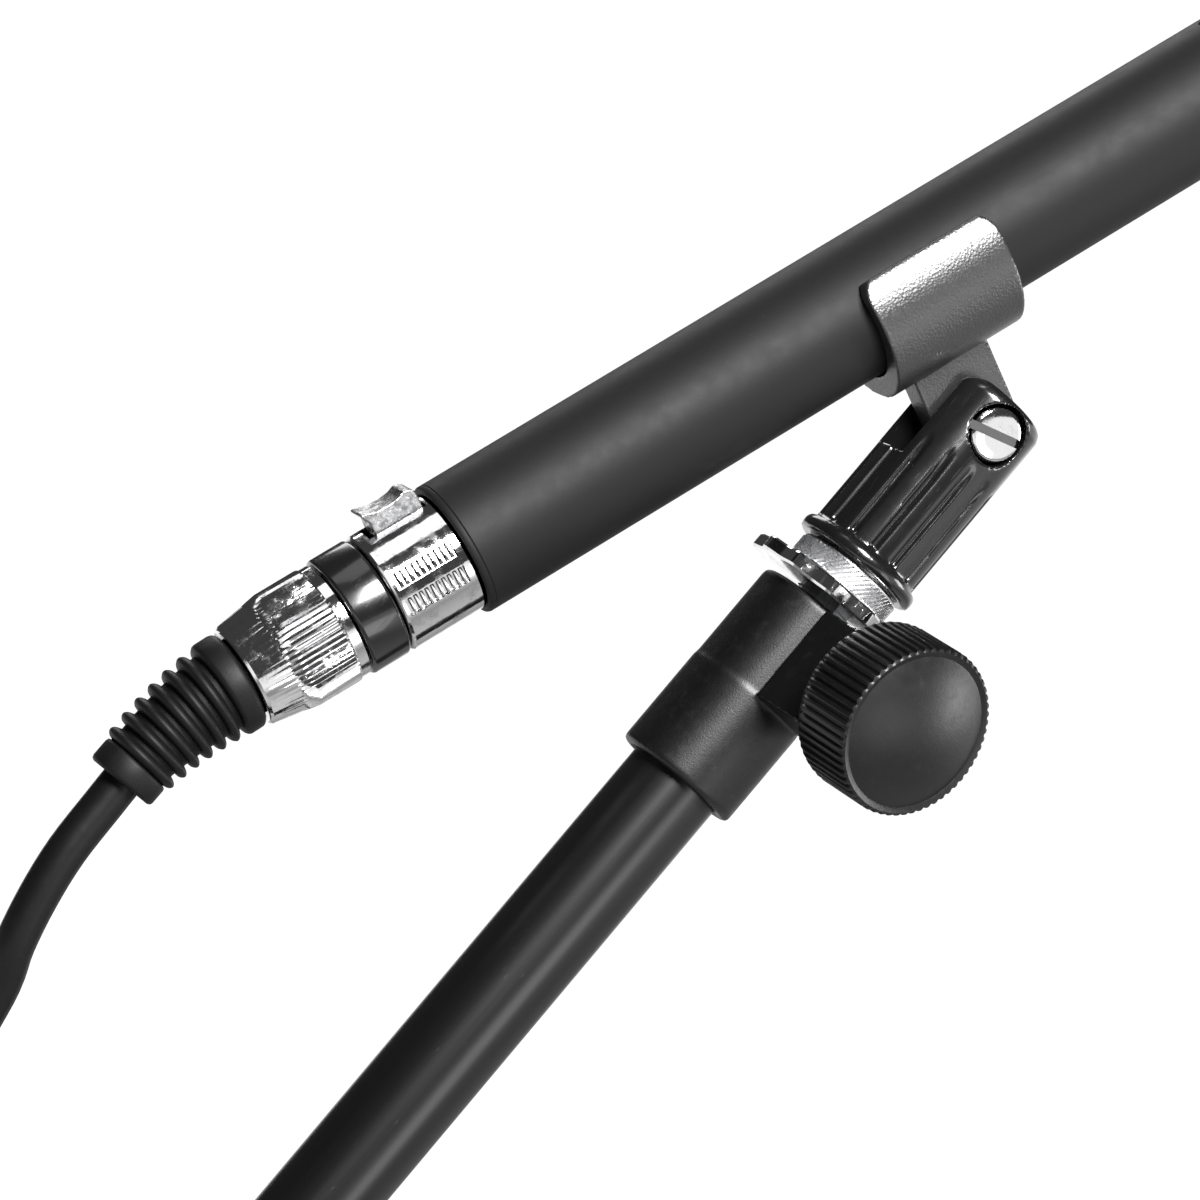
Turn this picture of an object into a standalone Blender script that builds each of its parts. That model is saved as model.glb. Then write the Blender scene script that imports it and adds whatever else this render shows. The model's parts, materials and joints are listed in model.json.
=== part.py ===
"""Boom pole with a clamp-on swivel clip, a slim microphone and its cable. Lengths are in millimetres.

The pole runs up and to the right in the XZ plane. It is held by its foam grip, whose centre is the origin.
"""

import math

import bmesh
import bpy
from mathutils import Matrix, Vector

MM = 0.001
GAP = 0.3  # between two pieces that touch or rest on each other

# Attitude in the XZ plane, degrees above the horizontal
POLE_ANGLE = 45.7
MIC_ANGLE = 25.8

# Lower pole, stations along the pole from the middle of the grip
OUTER_TUBE_R = 10.25
OUTER_TUBE_WALL = 0.95
OUTER_TUBE_BOTTOM = -80.0
OUTER_TUBE_TOP = 248.0
GRIP_R = 13.6
GRIP_LENGTH = 124.0
GRIP_EDGE = 2.5
CAP_R = 11.8
CAP_LENGTH = 18.0
CAP_FLOOR = 3.7
GLAND_R = 11.6
GLAND_FLANGE_R = 13.2
GLAND_FLANGE = 4.0
GLAND_LENGTH = 28.0
COLLAR_R = 13.5
COLLAR_LIP = 4.0
COLLET_LENGTH = 11.9
COLLET_WALL = 1.65
COLLET_SLOT = 1.2
COLLET_SLOTS = 3

# Sliding inner tube
INNER_TUBE_R = 7.95
INNER_TUBE_WALL = 1.2
INNER_TUBE_BOTTOM = 60.0
BUSH_LENGTH = 24.0

# Clamp sleeve on the upper end of the inner tube, stations from the lower end of the sleeve
HEAD_BASE = 380.0
SLEEVE_R = 10.5
SLEEVE_UPPER_R = 10.35
SLEEVE_STEP = 17.7
SLEEVE_LENGTH = 35.2
SLEEVE_ROOF = 3.6
SLEEVE_EDGE = 1.15
BOSS_LOW = 17.5
BOSS_WIDTH = 13.0
BOSS_REACH = 20.0

# Clamp knob, distances outward from the pole axis
KNOB_STATION = 27.1
KNOB_TURN = 12.4
KNOB_R = 13.9
KNOB_BACK = 23.5
KNOB_RIM = 36.4
KNOB_DOME = 2.5
STUD_R = 2.5
SHOE_R = 3.0
SHOE_THICK = 1.3
SHOE_TRAVEL = 1.45
STUD_TIP = INNER_TUBE_R + GAP + SHOE_THICK + SHOE_TRAVEL
INSERT_R = 3.8
INSERT_START = STUD_TIP + 0.2

# Threaded stud, lock nut and insert above the sleeve
THREAD_R = 4.75
THREAD_TOP = 54.0
THREAD_HEAD_PLAY = 0.55
THREAD_HEAD_R = INNER_TUBE_R - INNER_TUBE_WALL - THREAD_HEAD_PLAY
THREAD_HEAD = 4.3
NUT_BOTTOM = 36.5
NUT_THICK = 2.5
NUT_R = 14.6
NUT_LOBES = 12
NUT_LOBE_DEPTH = 1.1
FLANGE_R = 9.3
FLANGE_THICK = 4.2
SHANK_R = 7.5
SHANK_TOP = 56.0

# Swivel base and its fork
RING_R = 10.9
RING_THICK = 2.6
SWIVEL_R = 9.7
SWIVEL_TOP = 79.5
FLUTES = 14
FLUTE_WIDTH = 1.5
FLUTE_DEPTH = 0.7
FLUTE_LENGTH = 20.5
HINGE_STATION = 73.7
SLOT_FLOOR = 62.0
SLOT_WIDTH = 8.0
RECESS_R = 5.05
RECESS_FLOOR = 6.4

# Pivot screw across the fork
PIVOT_R = 2.5
PIVOT_HEAD_R = 4.6
PIVOT_HEAD_FACE = 8.8
DRIVE_SLOT_WIDTH = 1.4
DRIVE_SLOT_DEPTH = 0.9
DRIVE_SLOT_TURN = 52.0
PIVOT_NUT_R = 4.5
PIVOT_NUT_FACE = 8.9
WASHER_R = 6.5
WASHER_THICK = 0.6

# Microphone clip, distances from the hinge and from the microphone axis
MIC_HEIGHT = 27.5
CLIP_LENGTH = 24.2
CLIP_WALL = 2.4
CLIP_DROP = 0.9
CLIP_LIP_ANGLE = 35.0
CLIP_CORNER = 3.6
EAR_WIDTH = 14.0
EAR_THICK = SLOT_WIDTH - 2 * (WASHER_THICK + 2 * GAP)

# Microphone, stations forward of the hinge
MIC_R = 11.0
MIC_WALL = 1.4
MIC_REAR = -85.3
MIC_LENGTH = 250.0
NOSE_LENGTH = 9.4
VENT_FIRST = 62.0
VENT_PITCH = 17.0
VENT_ROWS = 5
VENTS_ROUND = 6
VENT_LENGTH = 11.0
VENT_WIDTH = 2.4
MOUTH_DEPTH = 2.0
SOCKET_DEPTH = 14.3
SOCKET_THICK = 5.0
PIN_R = 1.2
PIN_CIRCLE_R = 4.4
PIN_REACH = 10.0
BOARD_LENGTH = 70.0
BOARD_WIDTH = 15.0
BOARD_THICK = 1.6
CAPSULE_LENGTH = 12.0
CAPSULE_REAR = 24.0

# Cable plug, stations backward from the rear rim of the microphone
PLUG_R = 9.9
PLUG_BORE_R = 6.9
PLUG_NOSE_R = 7.9
PLUG_NOSE = 13.5
PLUG_SHELL = 13.3
PLUG_RING = 6.7
PLUG_NUT = 17.2
PLUG_NUT_R = 9.7
PLUG_NUT_REAR_R = 8.4
PLUG_NUT_STRAIGHT = 8.5
SOCKET_WALL = 0.35
LATCH_WIDTH = 4.8
LATCH_LENGTH = 9.5
LATCH_RISE = 3.4
LATCH_SPRING_THICK = 0.3
BOOT_LENGTH = 24.0
BOOT_FRONT_R = 8.0
BOOT_REAR_R = 5.75
BOOT_COLLAR = 4.0
BOOT_RIBS = 6
BOOT_BEND = 21.0

# Cable and the coil that hangs below it, XZ offsets from the lower end of the sleeve
CORD_R = 3.175
COIL_CENTRE = (-79.0, 29.5, -228.0)
COIL_TURNS_DEEP = 3
COIL_TURNS_WIDE = 4
COIL_INNER_R = 28.575
LEAD_ENTRY = -41.0
TAIL_LENGTH = 44.0
TIE_WIDTH = 16.0
TIE_THICK = 1.5
END_BOOT_LENGTH = 18.0
END_SHELL_LENGTH = 44.0
END_SHELL_R = 9.5

ROUND = 28
SMALL_ROUND = 16


def start_scene():
    """Empties the startup scene and returns the collection for parts and the one for cutters."""
    for obj in list(bpy.data.objects):
        bpy.data.objects.remove(obj)
    parts = bpy.data.collections.new("boom_pole")
    cutters = bpy.data.collections.new("cutters")
    bpy.context.scene.collection.children.link(parts)
    bpy.context.scene.collection.children.link(cutters)
    return parts, cutters


PARTS, CUTTERS = start_scene()


def material(name, colour, metallic, roughness):
    """A plain Principled material."""
    made = bpy.data.materials.new(name)
    made.use_nodes = True
    shader = made.node_tree.nodes["Principled BSDF"]
    shader.inputs["Base Color"].default_value = (*colour, 1.0)
    shader.inputs["Metallic"].default_value = metallic
    shader.inputs["Roughness"].default_value = roughness
    made.diffuse_color = (*colour, 1.0)
    return made


def frame(name, parent, place, turn=(0.0, 0.0, 0.0)):
    """An empty that places a group of pieces: place in millimetres, turn in degrees."""
    empty = bpy.data.objects.new(name, None)
    empty.empty_display_size = 0.01
    PARTS.objects.link(empty)
    empty.parent = parent
    empty.location = Vector(place) * MM
    empty.rotation_euler = [math.radians(angle) for angle in turn]
    return empty


def add(name, mesh, parent, skin):
    """Links a mesh as a part, or as a hidden cutter when it has no skin."""
    obj = bpy.data.objects.new(name, mesh)
    obj.parent = parent
    if skin is None:
        CUTTERS.objects.link(obj)
        obj.hide_render = True
        obj.display_type = "WIRE"
    else:
        PARTS.objects.link(obj)
        mesh.materials.append(skin)
    return obj


def turned(name, profile, parent, skin, steps=ROUND):
    """A solid turned about Z from (radius, height) points that run down its outer side."""
    mesh = bpy.data.meshes.new(name)
    points = [(radius * MM, 0.0, height * MM) for radius, height in profile]
    edges = [(i, i + 1) for i in range(len(points) - 1)]
    if profile[0][0] > 0 or profile[-1][0] > 0:
        edges.append((len(points) - 1, 0))
    mesh.from_pydata(points, edges, [])
    obj = add(name, mesh, parent, skin)
    screw = obj.modifiers.new("turn", "SCREW")
    screw.steps = steps
    screw.render_steps = steps
    screw.use_merge_vertices = True
    screw.merge_threshold = 0.00001
    screw.use_smooth_shade = True
    return obj


def rod(name, radius, low, high, parent, skin, steps=SMALL_ROUND):
    """A plain cylinder between two heights."""
    return turned(name, [(0, high), (radius, high), (radius, low), (0, low)], parent, skin, steps)


def ring(name, outer, inner, low, high, parent, skin, steps=ROUND):
    """A plain tube between two heights."""
    profile = [(outer, high), (outer, low), (inner, low), (inner, high)]
    return turned(name, profile, parent, skin, steps)


def block(name, low, high, parent, skin, edge=0.0):
    """A box between two corners, with rounded edges if an edge radius is given."""
    size = [b - a for a, b in zip(low, high)]
    middle = [(a + b) / 2 for a, b in zip(low, high)]
    mesh = bpy.data.meshes.new(name)
    made = bmesh.new()
    bmesh.ops.create_cube(made, size=MM)
    bmesh.ops.scale(made, vec=size, verts=made.verts)
    bmesh.ops.translate(made, vec=Vector(middle) * MM, verts=made.verts)
    made.to_mesh(mesh)
    made.free()
    obj = add(name, mesh, parent, skin)
    if edge:
        bevel = obj.modifiers.new("edge", "BEVEL")
        bevel.width = edge * MM
        bevel.segments = 2
    return obj


def plate(name, outlines, low, high, parent, skin):
    """A flat piece in XY between two heights: the first outline is its edge, the others are holes."""
    curve = bpy.data.curves.new(name, "CURVE")
    curve.dimensions = "2D"
    curve.fill_mode = "BOTH"
    curve.extrude = (high - low) / 2 * MM
    for outline in outlines:
        spline = curve.splines.new("POLY")
        spline.points.add(len(outline) - 1)
        for point, (x, y) in zip(spline.points, outline):
            point.co = (x * MM, y * MM, 0.0, 1.0)
        spline.use_cyclic_u = True
    sketch = bpy.data.objects.new(name + "_sketch", curve)
    CUTTERS.objects.link(sketch)
    graph = bpy.context.evaluated_depsgraph_get()
    mesh = bpy.data.meshes.new_from_object(sketch.evaluated_get(graph))
    bpy.data.objects.remove(sketch)
    mesh.transform(Matrix.Translation((0, 0, (low + high) / 2 * MM)))
    made = bmesh.new()
    made.from_mesh(mesh)
    bmesh.ops.remove_doubles(made, verts=made.verts, dist=0.000001)
    made.to_mesh(mesh)
    made.free()
    return add(name, mesh, parent, skin)


def tube(name, path, radii, parent, skin):
    """A round cord or boot along a path; radii is one radius, or one for each point."""
    if not isinstance(radii, list):
        radii = [radii] * len(path)
    curve = bpy.data.curves.new(name, "CURVE")
    curve.dimensions = "3D"
    curve.bevel_depth = MM
    curve.bevel_resolution = 2
    curve.use_fill_caps = True
    spline = curve.splines.new("POLY")
    spline.points.add(len(path) - 1)
    for point, place, radius in zip(spline.points, path, radii):
        point.co = (*(Vector(place) * MM), 1.0)
        point.radius = radius
    spline.use_smooth = True
    obj = bpy.data.objects.new(name, curve)
    obj.parent = parent
    PARTS.objects.link(obj)
    curve.materials.append(skin)
    return obj


def combine(obj, other, operation):
    """Cuts with, joins or keeps the overlap of another mesh object."""
    change = obj.modifiers.new(other.name, "BOOLEAN")
    change.operation = operation
    change.solver = "EXACT"
    change.object = other
    return obj


def circle(radius, count=SMALL_ROUND, centre=(0.0, 0.0)):
    """Points round a circle."""
    turns = [2 * math.pi * i / count for i in range(count)]
    return [(centre[0] + radius * math.cos(a), centre[1] + radius * math.sin(a)) for a in turns]


def arc(radius, start, end, count, centre=(0.0, 0.0)):
    """Points along an arc, angles in degrees."""
    angles = [math.radians(start + (end - start) * i / count) for i in range(count + 1)]
    return [(centre[0] + radius * math.cos(a), centre[1] + radius * math.sin(a)) for a in angles]


def smooth_path(points, spacing):
    """A curve through the points (Catmull-Rom), sampled at about the spacing."""
    ends = [points[0] * 2 - points[1], *points, points[-1] * 2 - points[-2]]
    path = []
    for a, b, c, d in zip(ends, ends[1:], ends[2:], ends[3:]):
        count = max(1, round((c - b).length / spacing))
        for i in range(count):
            t = i / count
            path.append(
                0.5 * (b * 2 + (c - a) * t + (a * 2 - b * 5 + c * 4 - d) * t**2)
                + 0.5 * (b * 3 - a - c * 3 + d) * t**3
            )
    path.append(points[-1])
    return path


SKINS = {
    "tube": material("satin_tube", (0.02, 0.02, 0.022), 0.6, 0.35),
    "soft_coat": material("soft_coat", (0.03, 0.03, 0.032), 0.1, 0.6),
    "foam": material("foam", (0.02, 0.02, 0.02), 0.0, 0.95),
    "rubber": material("rubber", (0.02, 0.02, 0.02), 0.0, 0.8),
    "black_plastic": material("black_plastic", (0.03, 0.03, 0.032), 0.0, 0.5),
    "gloss_plastic": material("gloss_plastic", (0.015, 0.015, 0.017), 0.0, 0.15),
    "grey_plastic": material("grey_plastic", (0.09, 0.09, 0.095), 0.0, 0.45),
    "chrome": material("chrome", (0.85, 0.85, 0.87), 1.0, 0.1),
    "steel": material("steel", (0.6, 0.6, 0.62), 1.0, 0.3),
    "brass": material("brass", (0.75, 0.55, 0.25), 1.0, 0.3),
    "white_plastic": material("white_plastic", (0.75, 0.74, 0.7), 0.0, 0.4),
    "board": material("board", (0.03, 0.16, 0.07), 0.0, 0.4),
    "mesh_cloth": material("mesh_cloth", (0.05, 0.05, 0.05), 0.3, 0.7),
    "strap": material("strap", (0.02, 0.02, 0.02), 0.0, 0.9),
    "cord_jacket": material("cord_jacket", (0.02, 0.02, 0.022), 0.0, 0.55),
}

POLE = frame("pole_frame", None, (0, 0, 0), (0, 90 - POLE_ANGLE, 0))
KNOB = frame("knob_frame", POLE, (0, 0, HEAD_BASE + KNOB_STATION), (90, 0, KNOB_TURN))
HINGE = frame("hinge_frame", POLE, (0, 0, HEAD_BASE + HINGE_STATION), (0, POLE_ANGLE - MIC_ANGLE - 90, 0))
PIVOT = frame("pivot_frame", HINGE, (0, 0, 0), (-90, 0, 0))
MIC = frame("mic_frame", HINGE, (0, 0, MIC_HEIGHT), (0, 90, 0))
PLUG = frame("plug_frame", HINGE, (MIC_REAR, 0, MIC_HEIGHT), (0, -90, 0))


def along_pole(station, side=0.0):
    """World place in millimetres of a station on the pole, stepped sideways to its lower right."""
    angle = math.radians(POLE_ANGLE)
    x = station * math.cos(angle) + side * math.sin(angle)
    z = station * math.sin(angle) - side * math.cos(angle)
    return Vector((x, 0.0, z))


def behind_mic(back, below, aside=0.0):
    """World place in millimetres of a point behind and below the rear rim of the microphone."""
    angle = math.radians(MIC_ANGLE)
    forward = Vector((math.cos(angle), 0.0, math.sin(angle)))
    down = Vector((math.sin(angle), 0.0, -math.cos(angle)))
    rim = along_pole(HEAD_BASE + HINGE_STATION) - down * MIC_HEIGHT + forward * MIC_REAR
    return rim - forward * back + down * below + Vector((0.0, aside, 0.0))


def build_lower_pole():
    """Outer tube, foam grip, butt cap and the twist lock at its top."""
    bore = OUTER_TUBE_R - OUTER_TUBE_WALL
    ring("outer_tube", OUTER_TUBE_R, bore, OUTER_TUBE_BOTTOM, OUTER_TUBE_TOP, POLE, SKINS["tube"])
    over = OUTER_TUBE_R + GAP
    half = GRIP_LENGTH / 2
    grip = [(GRIP_R - GRIP_EDGE, half), (GRIP_R, half - GRIP_EDGE), (GRIP_R, GRIP_EDGE - half)]
    grip += [(GRIP_R - GRIP_EDGE, -half), (over, -half), (over, half)]
    turned("foam_grip", grip, POLE, SKINS["foam"])
    floor = OUTER_TUBE_BOTTOM - GAP
    base = floor - CAP_FLOOR
    rim = base + CAP_LENGTH
    cap = [(0, floor), (over, floor), (over, rim), (CAP_R, rim)]
    cap += [(CAP_R, base + 1), (CAP_R - 1, base), (0, base)]
    turned("butt_cap", cap, POLE, SKINS["rubber"])
    build_twist_lock(over)


def build_twist_lock(over):
    """Gland on the outer tube, the collar screwed on it and the split collet they squeeze."""
    gland_top = OUTER_TUBE_TOP + 2
    gland_low = gland_top - GLAND_LENGTH
    step = gland_low + GLAND_FLANGE
    gland = [(GLAND_R, gland_top), (GLAND_R, step), (GLAND_FLANGE_R, step), (GLAND_FLANGE_R, gland_low)]
    gland += [(over, gland_low), (over, gland_top)]
    turned("collar_gland", gland, POLE, SKINS["black_plastic"])
    slide = INNER_TUBE_R + GAP
    chamber = slide + COLLET_WALL + GAP
    roof = gland_top + COLLET_LENGTH + 3 * GAP
    top = roof + COLLAR_LIP
    low = step + GAP
    collar = [(COLLAR_R - 0.9, top), (COLLAR_R, top - 1.5), (COLLAR_R, low), (GLAND_R + GAP, low)]
    collar += [(GLAND_R + GAP, gland_top + GAP), (chamber, gland_top + GAP), (chamber, roof), (slide, roof)]
    collar += [(slide, top)]
    turned("twist_collar", collar, POLE, SKINS["black_plastic"])
    low = gland_top + 2 * GAP
    high = low + COLLET_LENGTH
    wall = slide + COLLET_WALL
    wedge = [(wall - 0.5, high), (wall, low), (slide, low), (slide, high)]
    collet = turned("split_collet", wedge, POLE, SKINS["white_plastic"])
    for i in range(COLLET_SLOTS):
        turn = frame(f"collet_slot_frame_{i}", POLE, (0, 0, 0), (0, 0, 360 * i / COLLET_SLOTS))
        half = COLLET_SLOT / 2
        reach = high + 1 if i == 0 else high - 3
        slot = block(f"collet_slot_{i}", (slide - 1, -half, low - 1), (wall + 1, half, reach), turn, None)
        combine(collet, slot, "DIFFERENCE")


def build_inner_pole():
    """Inner tube and the bush at its lower end."""
    top = HEAD_BASE + SLEEVE_LENGTH - SLEEVE_ROOF - 2 * GAP
    bore = INNER_TUBE_R - INNER_TUBE_WALL
    ring("inner_tube", INNER_TUBE_R, bore, INNER_TUBE_BOTTOM, top, POLE, SKINS["tube"])
    outer = OUTER_TUBE_R - OUTER_TUBE_WALL - GAP
    high = INNER_TUBE_BOTTOM + BUSH_LENGTH
    ring("slide_bush", outer, INNER_TUBE_R + GAP, INNER_TUBE_BOTTOM, high, POLE, SKINS["white_plastic"])


def build_sleeve():
    """Clamp sleeve with its square boss, bored for the tube, the stud, the insert and the shoe."""
    base = HEAD_BASE
    roof = base + SLEEVE_LENGTH - SLEEVE_ROOF
    top = base + SLEEVE_LENGTH
    bore = INNER_TUBE_R + GAP
    hole = THREAD_R + GAP
    profile = [(hole, top), (SLEEVE_UPPER_R - SLEEVE_EDGE, top), (SLEEVE_UPPER_R, top - SLEEVE_EDGE)]
    profile += [(SLEEVE_UPPER_R, base + SLEEVE_STEP + 0.2), (SLEEVE_R, base + SLEEVE_STEP - 0.2)]
    profile += [(SLEEVE_R, base + SLEEVE_EDGE), (SLEEVE_R - SLEEVE_EDGE, base), (bore, base)]
    profile += [(bore, roof), (hole, roof)]
    sleeve = turned("clamp_sleeve", profile, POLE, SKINS["black_plastic"], 32)
    low = BOSS_LOW - KNOB_STATION
    high = SLEEVE_LENGTH - KNOB_STATION - 0.4
    half = BOSS_WIDTH / 2
    inside = INNER_TUBE_R + 1.4
    boss = block("boss", (-half, low, inside), (half, high, BOSS_REACH), KNOB, None, 0.9)
    combine(sleeve, boss, "UNION")
    shoe_bore = rod("shoe_bore", SHOE_R + GAP, INNER_TUBE_R - 2, INSERT_START, KNOB, None)
    combine(sleeve, shoe_bore, "DIFFERENCE")
    insert_bore = rod("insert_bore", INSERT_R + GAP, INSERT_START - GAP, BOSS_REACH + 2, KNOB, None)
    combine(sleeve, insert_bore, "DIFFERENCE")


def build_knob():
    """Knob, its stud, the brass insert it screws through and the pressure shoe."""
    bore = STUD_R + GAP
    depth = KNOB_RIM - 5
    knob = [(0, KNOB_RIM + KNOB_DOME), (KNOB_R * 0.5, KNOB_RIM + KNOB_DOME * 0.8)]
    knob += [(KNOB_R * 0.92, KNOB_RIM), (KNOB_R, KNOB_RIM - 1), (KNOB_R, KNOB_BACK + 1)]
    knob += [(KNOB_R - 1, KNOB_BACK), (bore, KNOB_BACK), (bore, depth), (0, depth)]
    turned("clamp_knob", knob, KNOB, SKINS["black_plastic"])
    rod("knob_stud", STUD_R, STUD_TIP, depth - GAP, KNOB, SKINS["steel"])
    ring("boss_insert", INSERT_R, bore, INSERT_START, BOSS_REACH - GAP, KNOB, SKINS["brass"], SMALL_ROUND)
    shoe = INNER_TUBE_R + GAP
    rod("pressure_shoe", SHOE_R, shoe, shoe + SHOE_THICK, KNOB, SKINS["brass"])


def build_thread():
    """Threaded stud out of the sleeve, the lobed lock nut and the knurled insert of the swivel."""
    base = HEAD_BASE
    seat = base + SLEEVE_LENGTH - SLEEVE_ROOF - GAP
    top = base + THREAD_TOP
    stud = [(0, top), (THREAD_R - 0.4, top), (THREAD_R, top - 0.6), (THREAD_R, seat), (THREAD_HEAD_R, seat)]
    stud += [(THREAD_HEAD_R, seat - THREAD_HEAD), (0, seat - THREAD_HEAD)]
    turned("thread_stud", stud, POLE, SKINS["steel"], SMALL_ROUND)
    edge = []
    for i in range(NUT_LOBES * 4):
        angle = 2 * math.pi * i / (NUT_LOBES * 4)
        radius = NUT_R - NUT_LOBE_DEPTH * (0.5 - 0.5 * math.cos(NUT_LOBES * angle))
        edge.append((radius * math.cos(angle), radius * math.sin(angle)))
    low = base + NUT_BOTTOM
    hole = circle(THREAD_R + GAP)
    plate("lock_nut", [edge, hole], low, low + NUT_THICK, POLE, SKINS["chrome"])
    low = low + NUT_THICK + GAP
    high = low + FLANGE_THICK
    top = base + SHANK_TOP
    bore = THREAD_R + GAP
    insert = [(0, top), (SHANK_R, top), (SHANK_R, high), (FLANGE_R - 0.2, high), (FLANGE_R, high - 0.3)]
    insert += [(FLANGE_R, low + 0.3), (FLANGE_R - 0.3, low), (bore, low)]
    insert += [(bore, base + THREAD_TOP + 2 * GAP), (0, base + THREAD_TOP + 2 * GAP)]
    turned("threaded_insert", insert, POLE, SKINS["chrome"])


def build_swivel():
    """Fluted swivel base with its collar ring, bored for the insert and slotted into a fork."""
    base = HEAD_BASE
    low = base + NUT_BOTTOM + NUT_THICK + GAP + FLANGE_THICK + GAP
    high = low + RING_THICK
    top = base + SWIVEL_TOP
    bore = SHANK_R + GAP
    roof = base + SHANK_TOP + GAP
    profile = [(0, top), (SWIVEL_R - 1.4, top), (SWIVEL_R, top - 1.4), (SWIVEL_R, high)]
    profile += [(RING_R - 0.4, high), (RING_R, high - 0.6), (RING_R, low + 0.6), (RING_R - 0.4, low)]
    profile += [(bore, low), (bore, roof), (0, roof)]
    swivel = turned("swivel_base", profile, POLE, SKINS["gloss_plastic"], 32)
    combine(swivel, flute_cutter(high + 0.8), "DIFFERENCE")
    half = SLOT_WIDTH / 2
    fork = block("fork_slot", (-14, -half, base + SLOT_FLOOR), (14, half, top + 3), POLE, None)
    combine(swivel, fork, "DIFFERENCE")
    combine(swivel, rod("head_recess", RECESS_R, -14, -RECESS_FLOOR, PIVOT, None, 24), "DIFFERENCE")
    combine(swivel, rod("nut_recess", PIVOT_NUT_R + GAP, RECESS_FLOOR, 14, PIVOT, None, 6), "DIFFERENCE")
    combine(swivel, rod("pivot_bore", PIVOT_R + GAP, -13, 13, PIVOT, None), "DIFFERENCE")


def flute_cutter(low):
    """One cutter for all the flutes round the swivel base."""
    mesh = bpy.data.meshes.new("flutes")
    made = bmesh.new()
    for i in range(FLUTES):
        turn = Matrix.Rotation(2 * math.pi * (i + 0.5) / FLUTES, 4, "Z")
        place = Matrix.Translation(Vector((SWIVEL_R + 1 - FLUTE_DEPTH, 0, low + FLUTE_LENGTH / 2)) * MM)
        size = Matrix.Diagonal((2 * MM, FLUTE_WIDTH * MM, FLUTE_LENGTH * MM, 1))
        bmesh.ops.create_cube(made, size=1.0, matrix=turn @ place @ size)
    made.to_mesh(mesh)
    made.free()
    return add("flutes", mesh, POLE, None)


def build_pivot():
    """Slotted pivot screw, its captive nut and the two friction washers beside the ear."""
    under = RECESS_FLOOR + GAP
    tip = PIVOT_NUT_FACE - 0.6
    outline = [(0, tip), (PIVOT_R, tip), (PIVOT_R, -under), (PIVOT_HEAD_R, -under)]
    outline += [(PIVOT_HEAD_R, 0.5 - PIVOT_HEAD_FACE), (PIVOT_HEAD_R - 0.5, -PIVOT_HEAD_FACE)]
    outline += [(0, -PIVOT_HEAD_FACE)]
    screw = turned("pivot_screw", outline, PIVOT, SKINS["chrome"], 24)
    turn = frame("drive_slot_frame", PIVOT, (0, 0, 0), (0, 0, DRIVE_SLOT_TURN))
    half = DRIVE_SLOT_WIDTH / 2
    face = -PIVOT_HEAD_FACE
    slot = block("drive_slot", (-8, -half, face - 1), (8, half, face + DRIVE_SLOT_DEPTH), turn, None)
    combine(screw, slot, "DIFFERENCE")
    hexagon = [circle(PIVOT_NUT_R, 6), circle(PIVOT_R + GAP)]
    plate("pivot_nut", hexagon, under, PIVOT_NUT_FACE, PIVOT, SKINS["steel"])
    inner = EAR_THICK / 2 + GAP
    outer = inner + WASHER_THICK
    bore = PIVOT_R + GAP
    ring("friction_washer_1", WASHER_R, bore, -outer, -inner, PIVOT, SKINS["white_plastic"], SMALL_ROUND)
    ring("friction_washer_2", WASHER_R, bore, inner, outer, PIVOT, SKINS["white_plastic"], SMALL_ROUND)


def build_clip():
    """C-shaped microphone clip with an ear that turns in the fork."""
    inner = MIC_R + GAP
    outer = inner + CLIP_WALL + CLIP_DROP / 2
    lip = 180 - (90 - CLIP_LIP_ANGLE)
    centre = (CLIP_DROP, 0.0)
    outline = arc(outer, -lip, lip, 26, centre) + arc(inner, lip, -lip, 26)
    half = CLIP_LENGTH / 2
    clip = plate("mic_clip", [outline], -half, half, MIC, SKINS["grey_plastic"])
    reach = outer + 2
    low = outer + CLIP_DROP + 1
    high = -inner * math.sin(math.radians(CLIP_LIP_ANGLE)) - 1.2
    sides = block("clip_corners", (high, -reach, -half), (low + 2, reach, half), MIC, None)
    round_off(sides, CLIP_CORNER)
    combine(clip, sides, "INTERSECT")
    rise = MIC_HEIGHT - inner - 0.8
    wide = EAR_WIDTH / 2
    ear_outline = [(-wide, -rise), (wide, -rise)] + arc(wide, 0, 180, 12)
    thick = EAR_THICK / 2
    ear = plate("ear", [ear_outline], -thick, thick, PIVOT, None)
    combine(clip, ear, "UNION")
    combine(clip, rod("ear_bore", PIVOT_R + GAP, -9, 9, PIVOT, None), "DIFFERENCE")


def round_off(obj, radius):
    """Rounds the four edges of a box that run along its own Y."""
    made = bmesh.new()
    made.from_mesh(obj.data)
    across = [e for e in made.edges if abs((e.verts[0].co - e.verts[1].co).normalized().y) > 0.9]
    bmesh.ops.bevel(made, geom=across, offset=radius * MM, segments=4, profile=0.5, affect="EDGES")
    made.to_mesh(obj.data)
    made.free()


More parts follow.
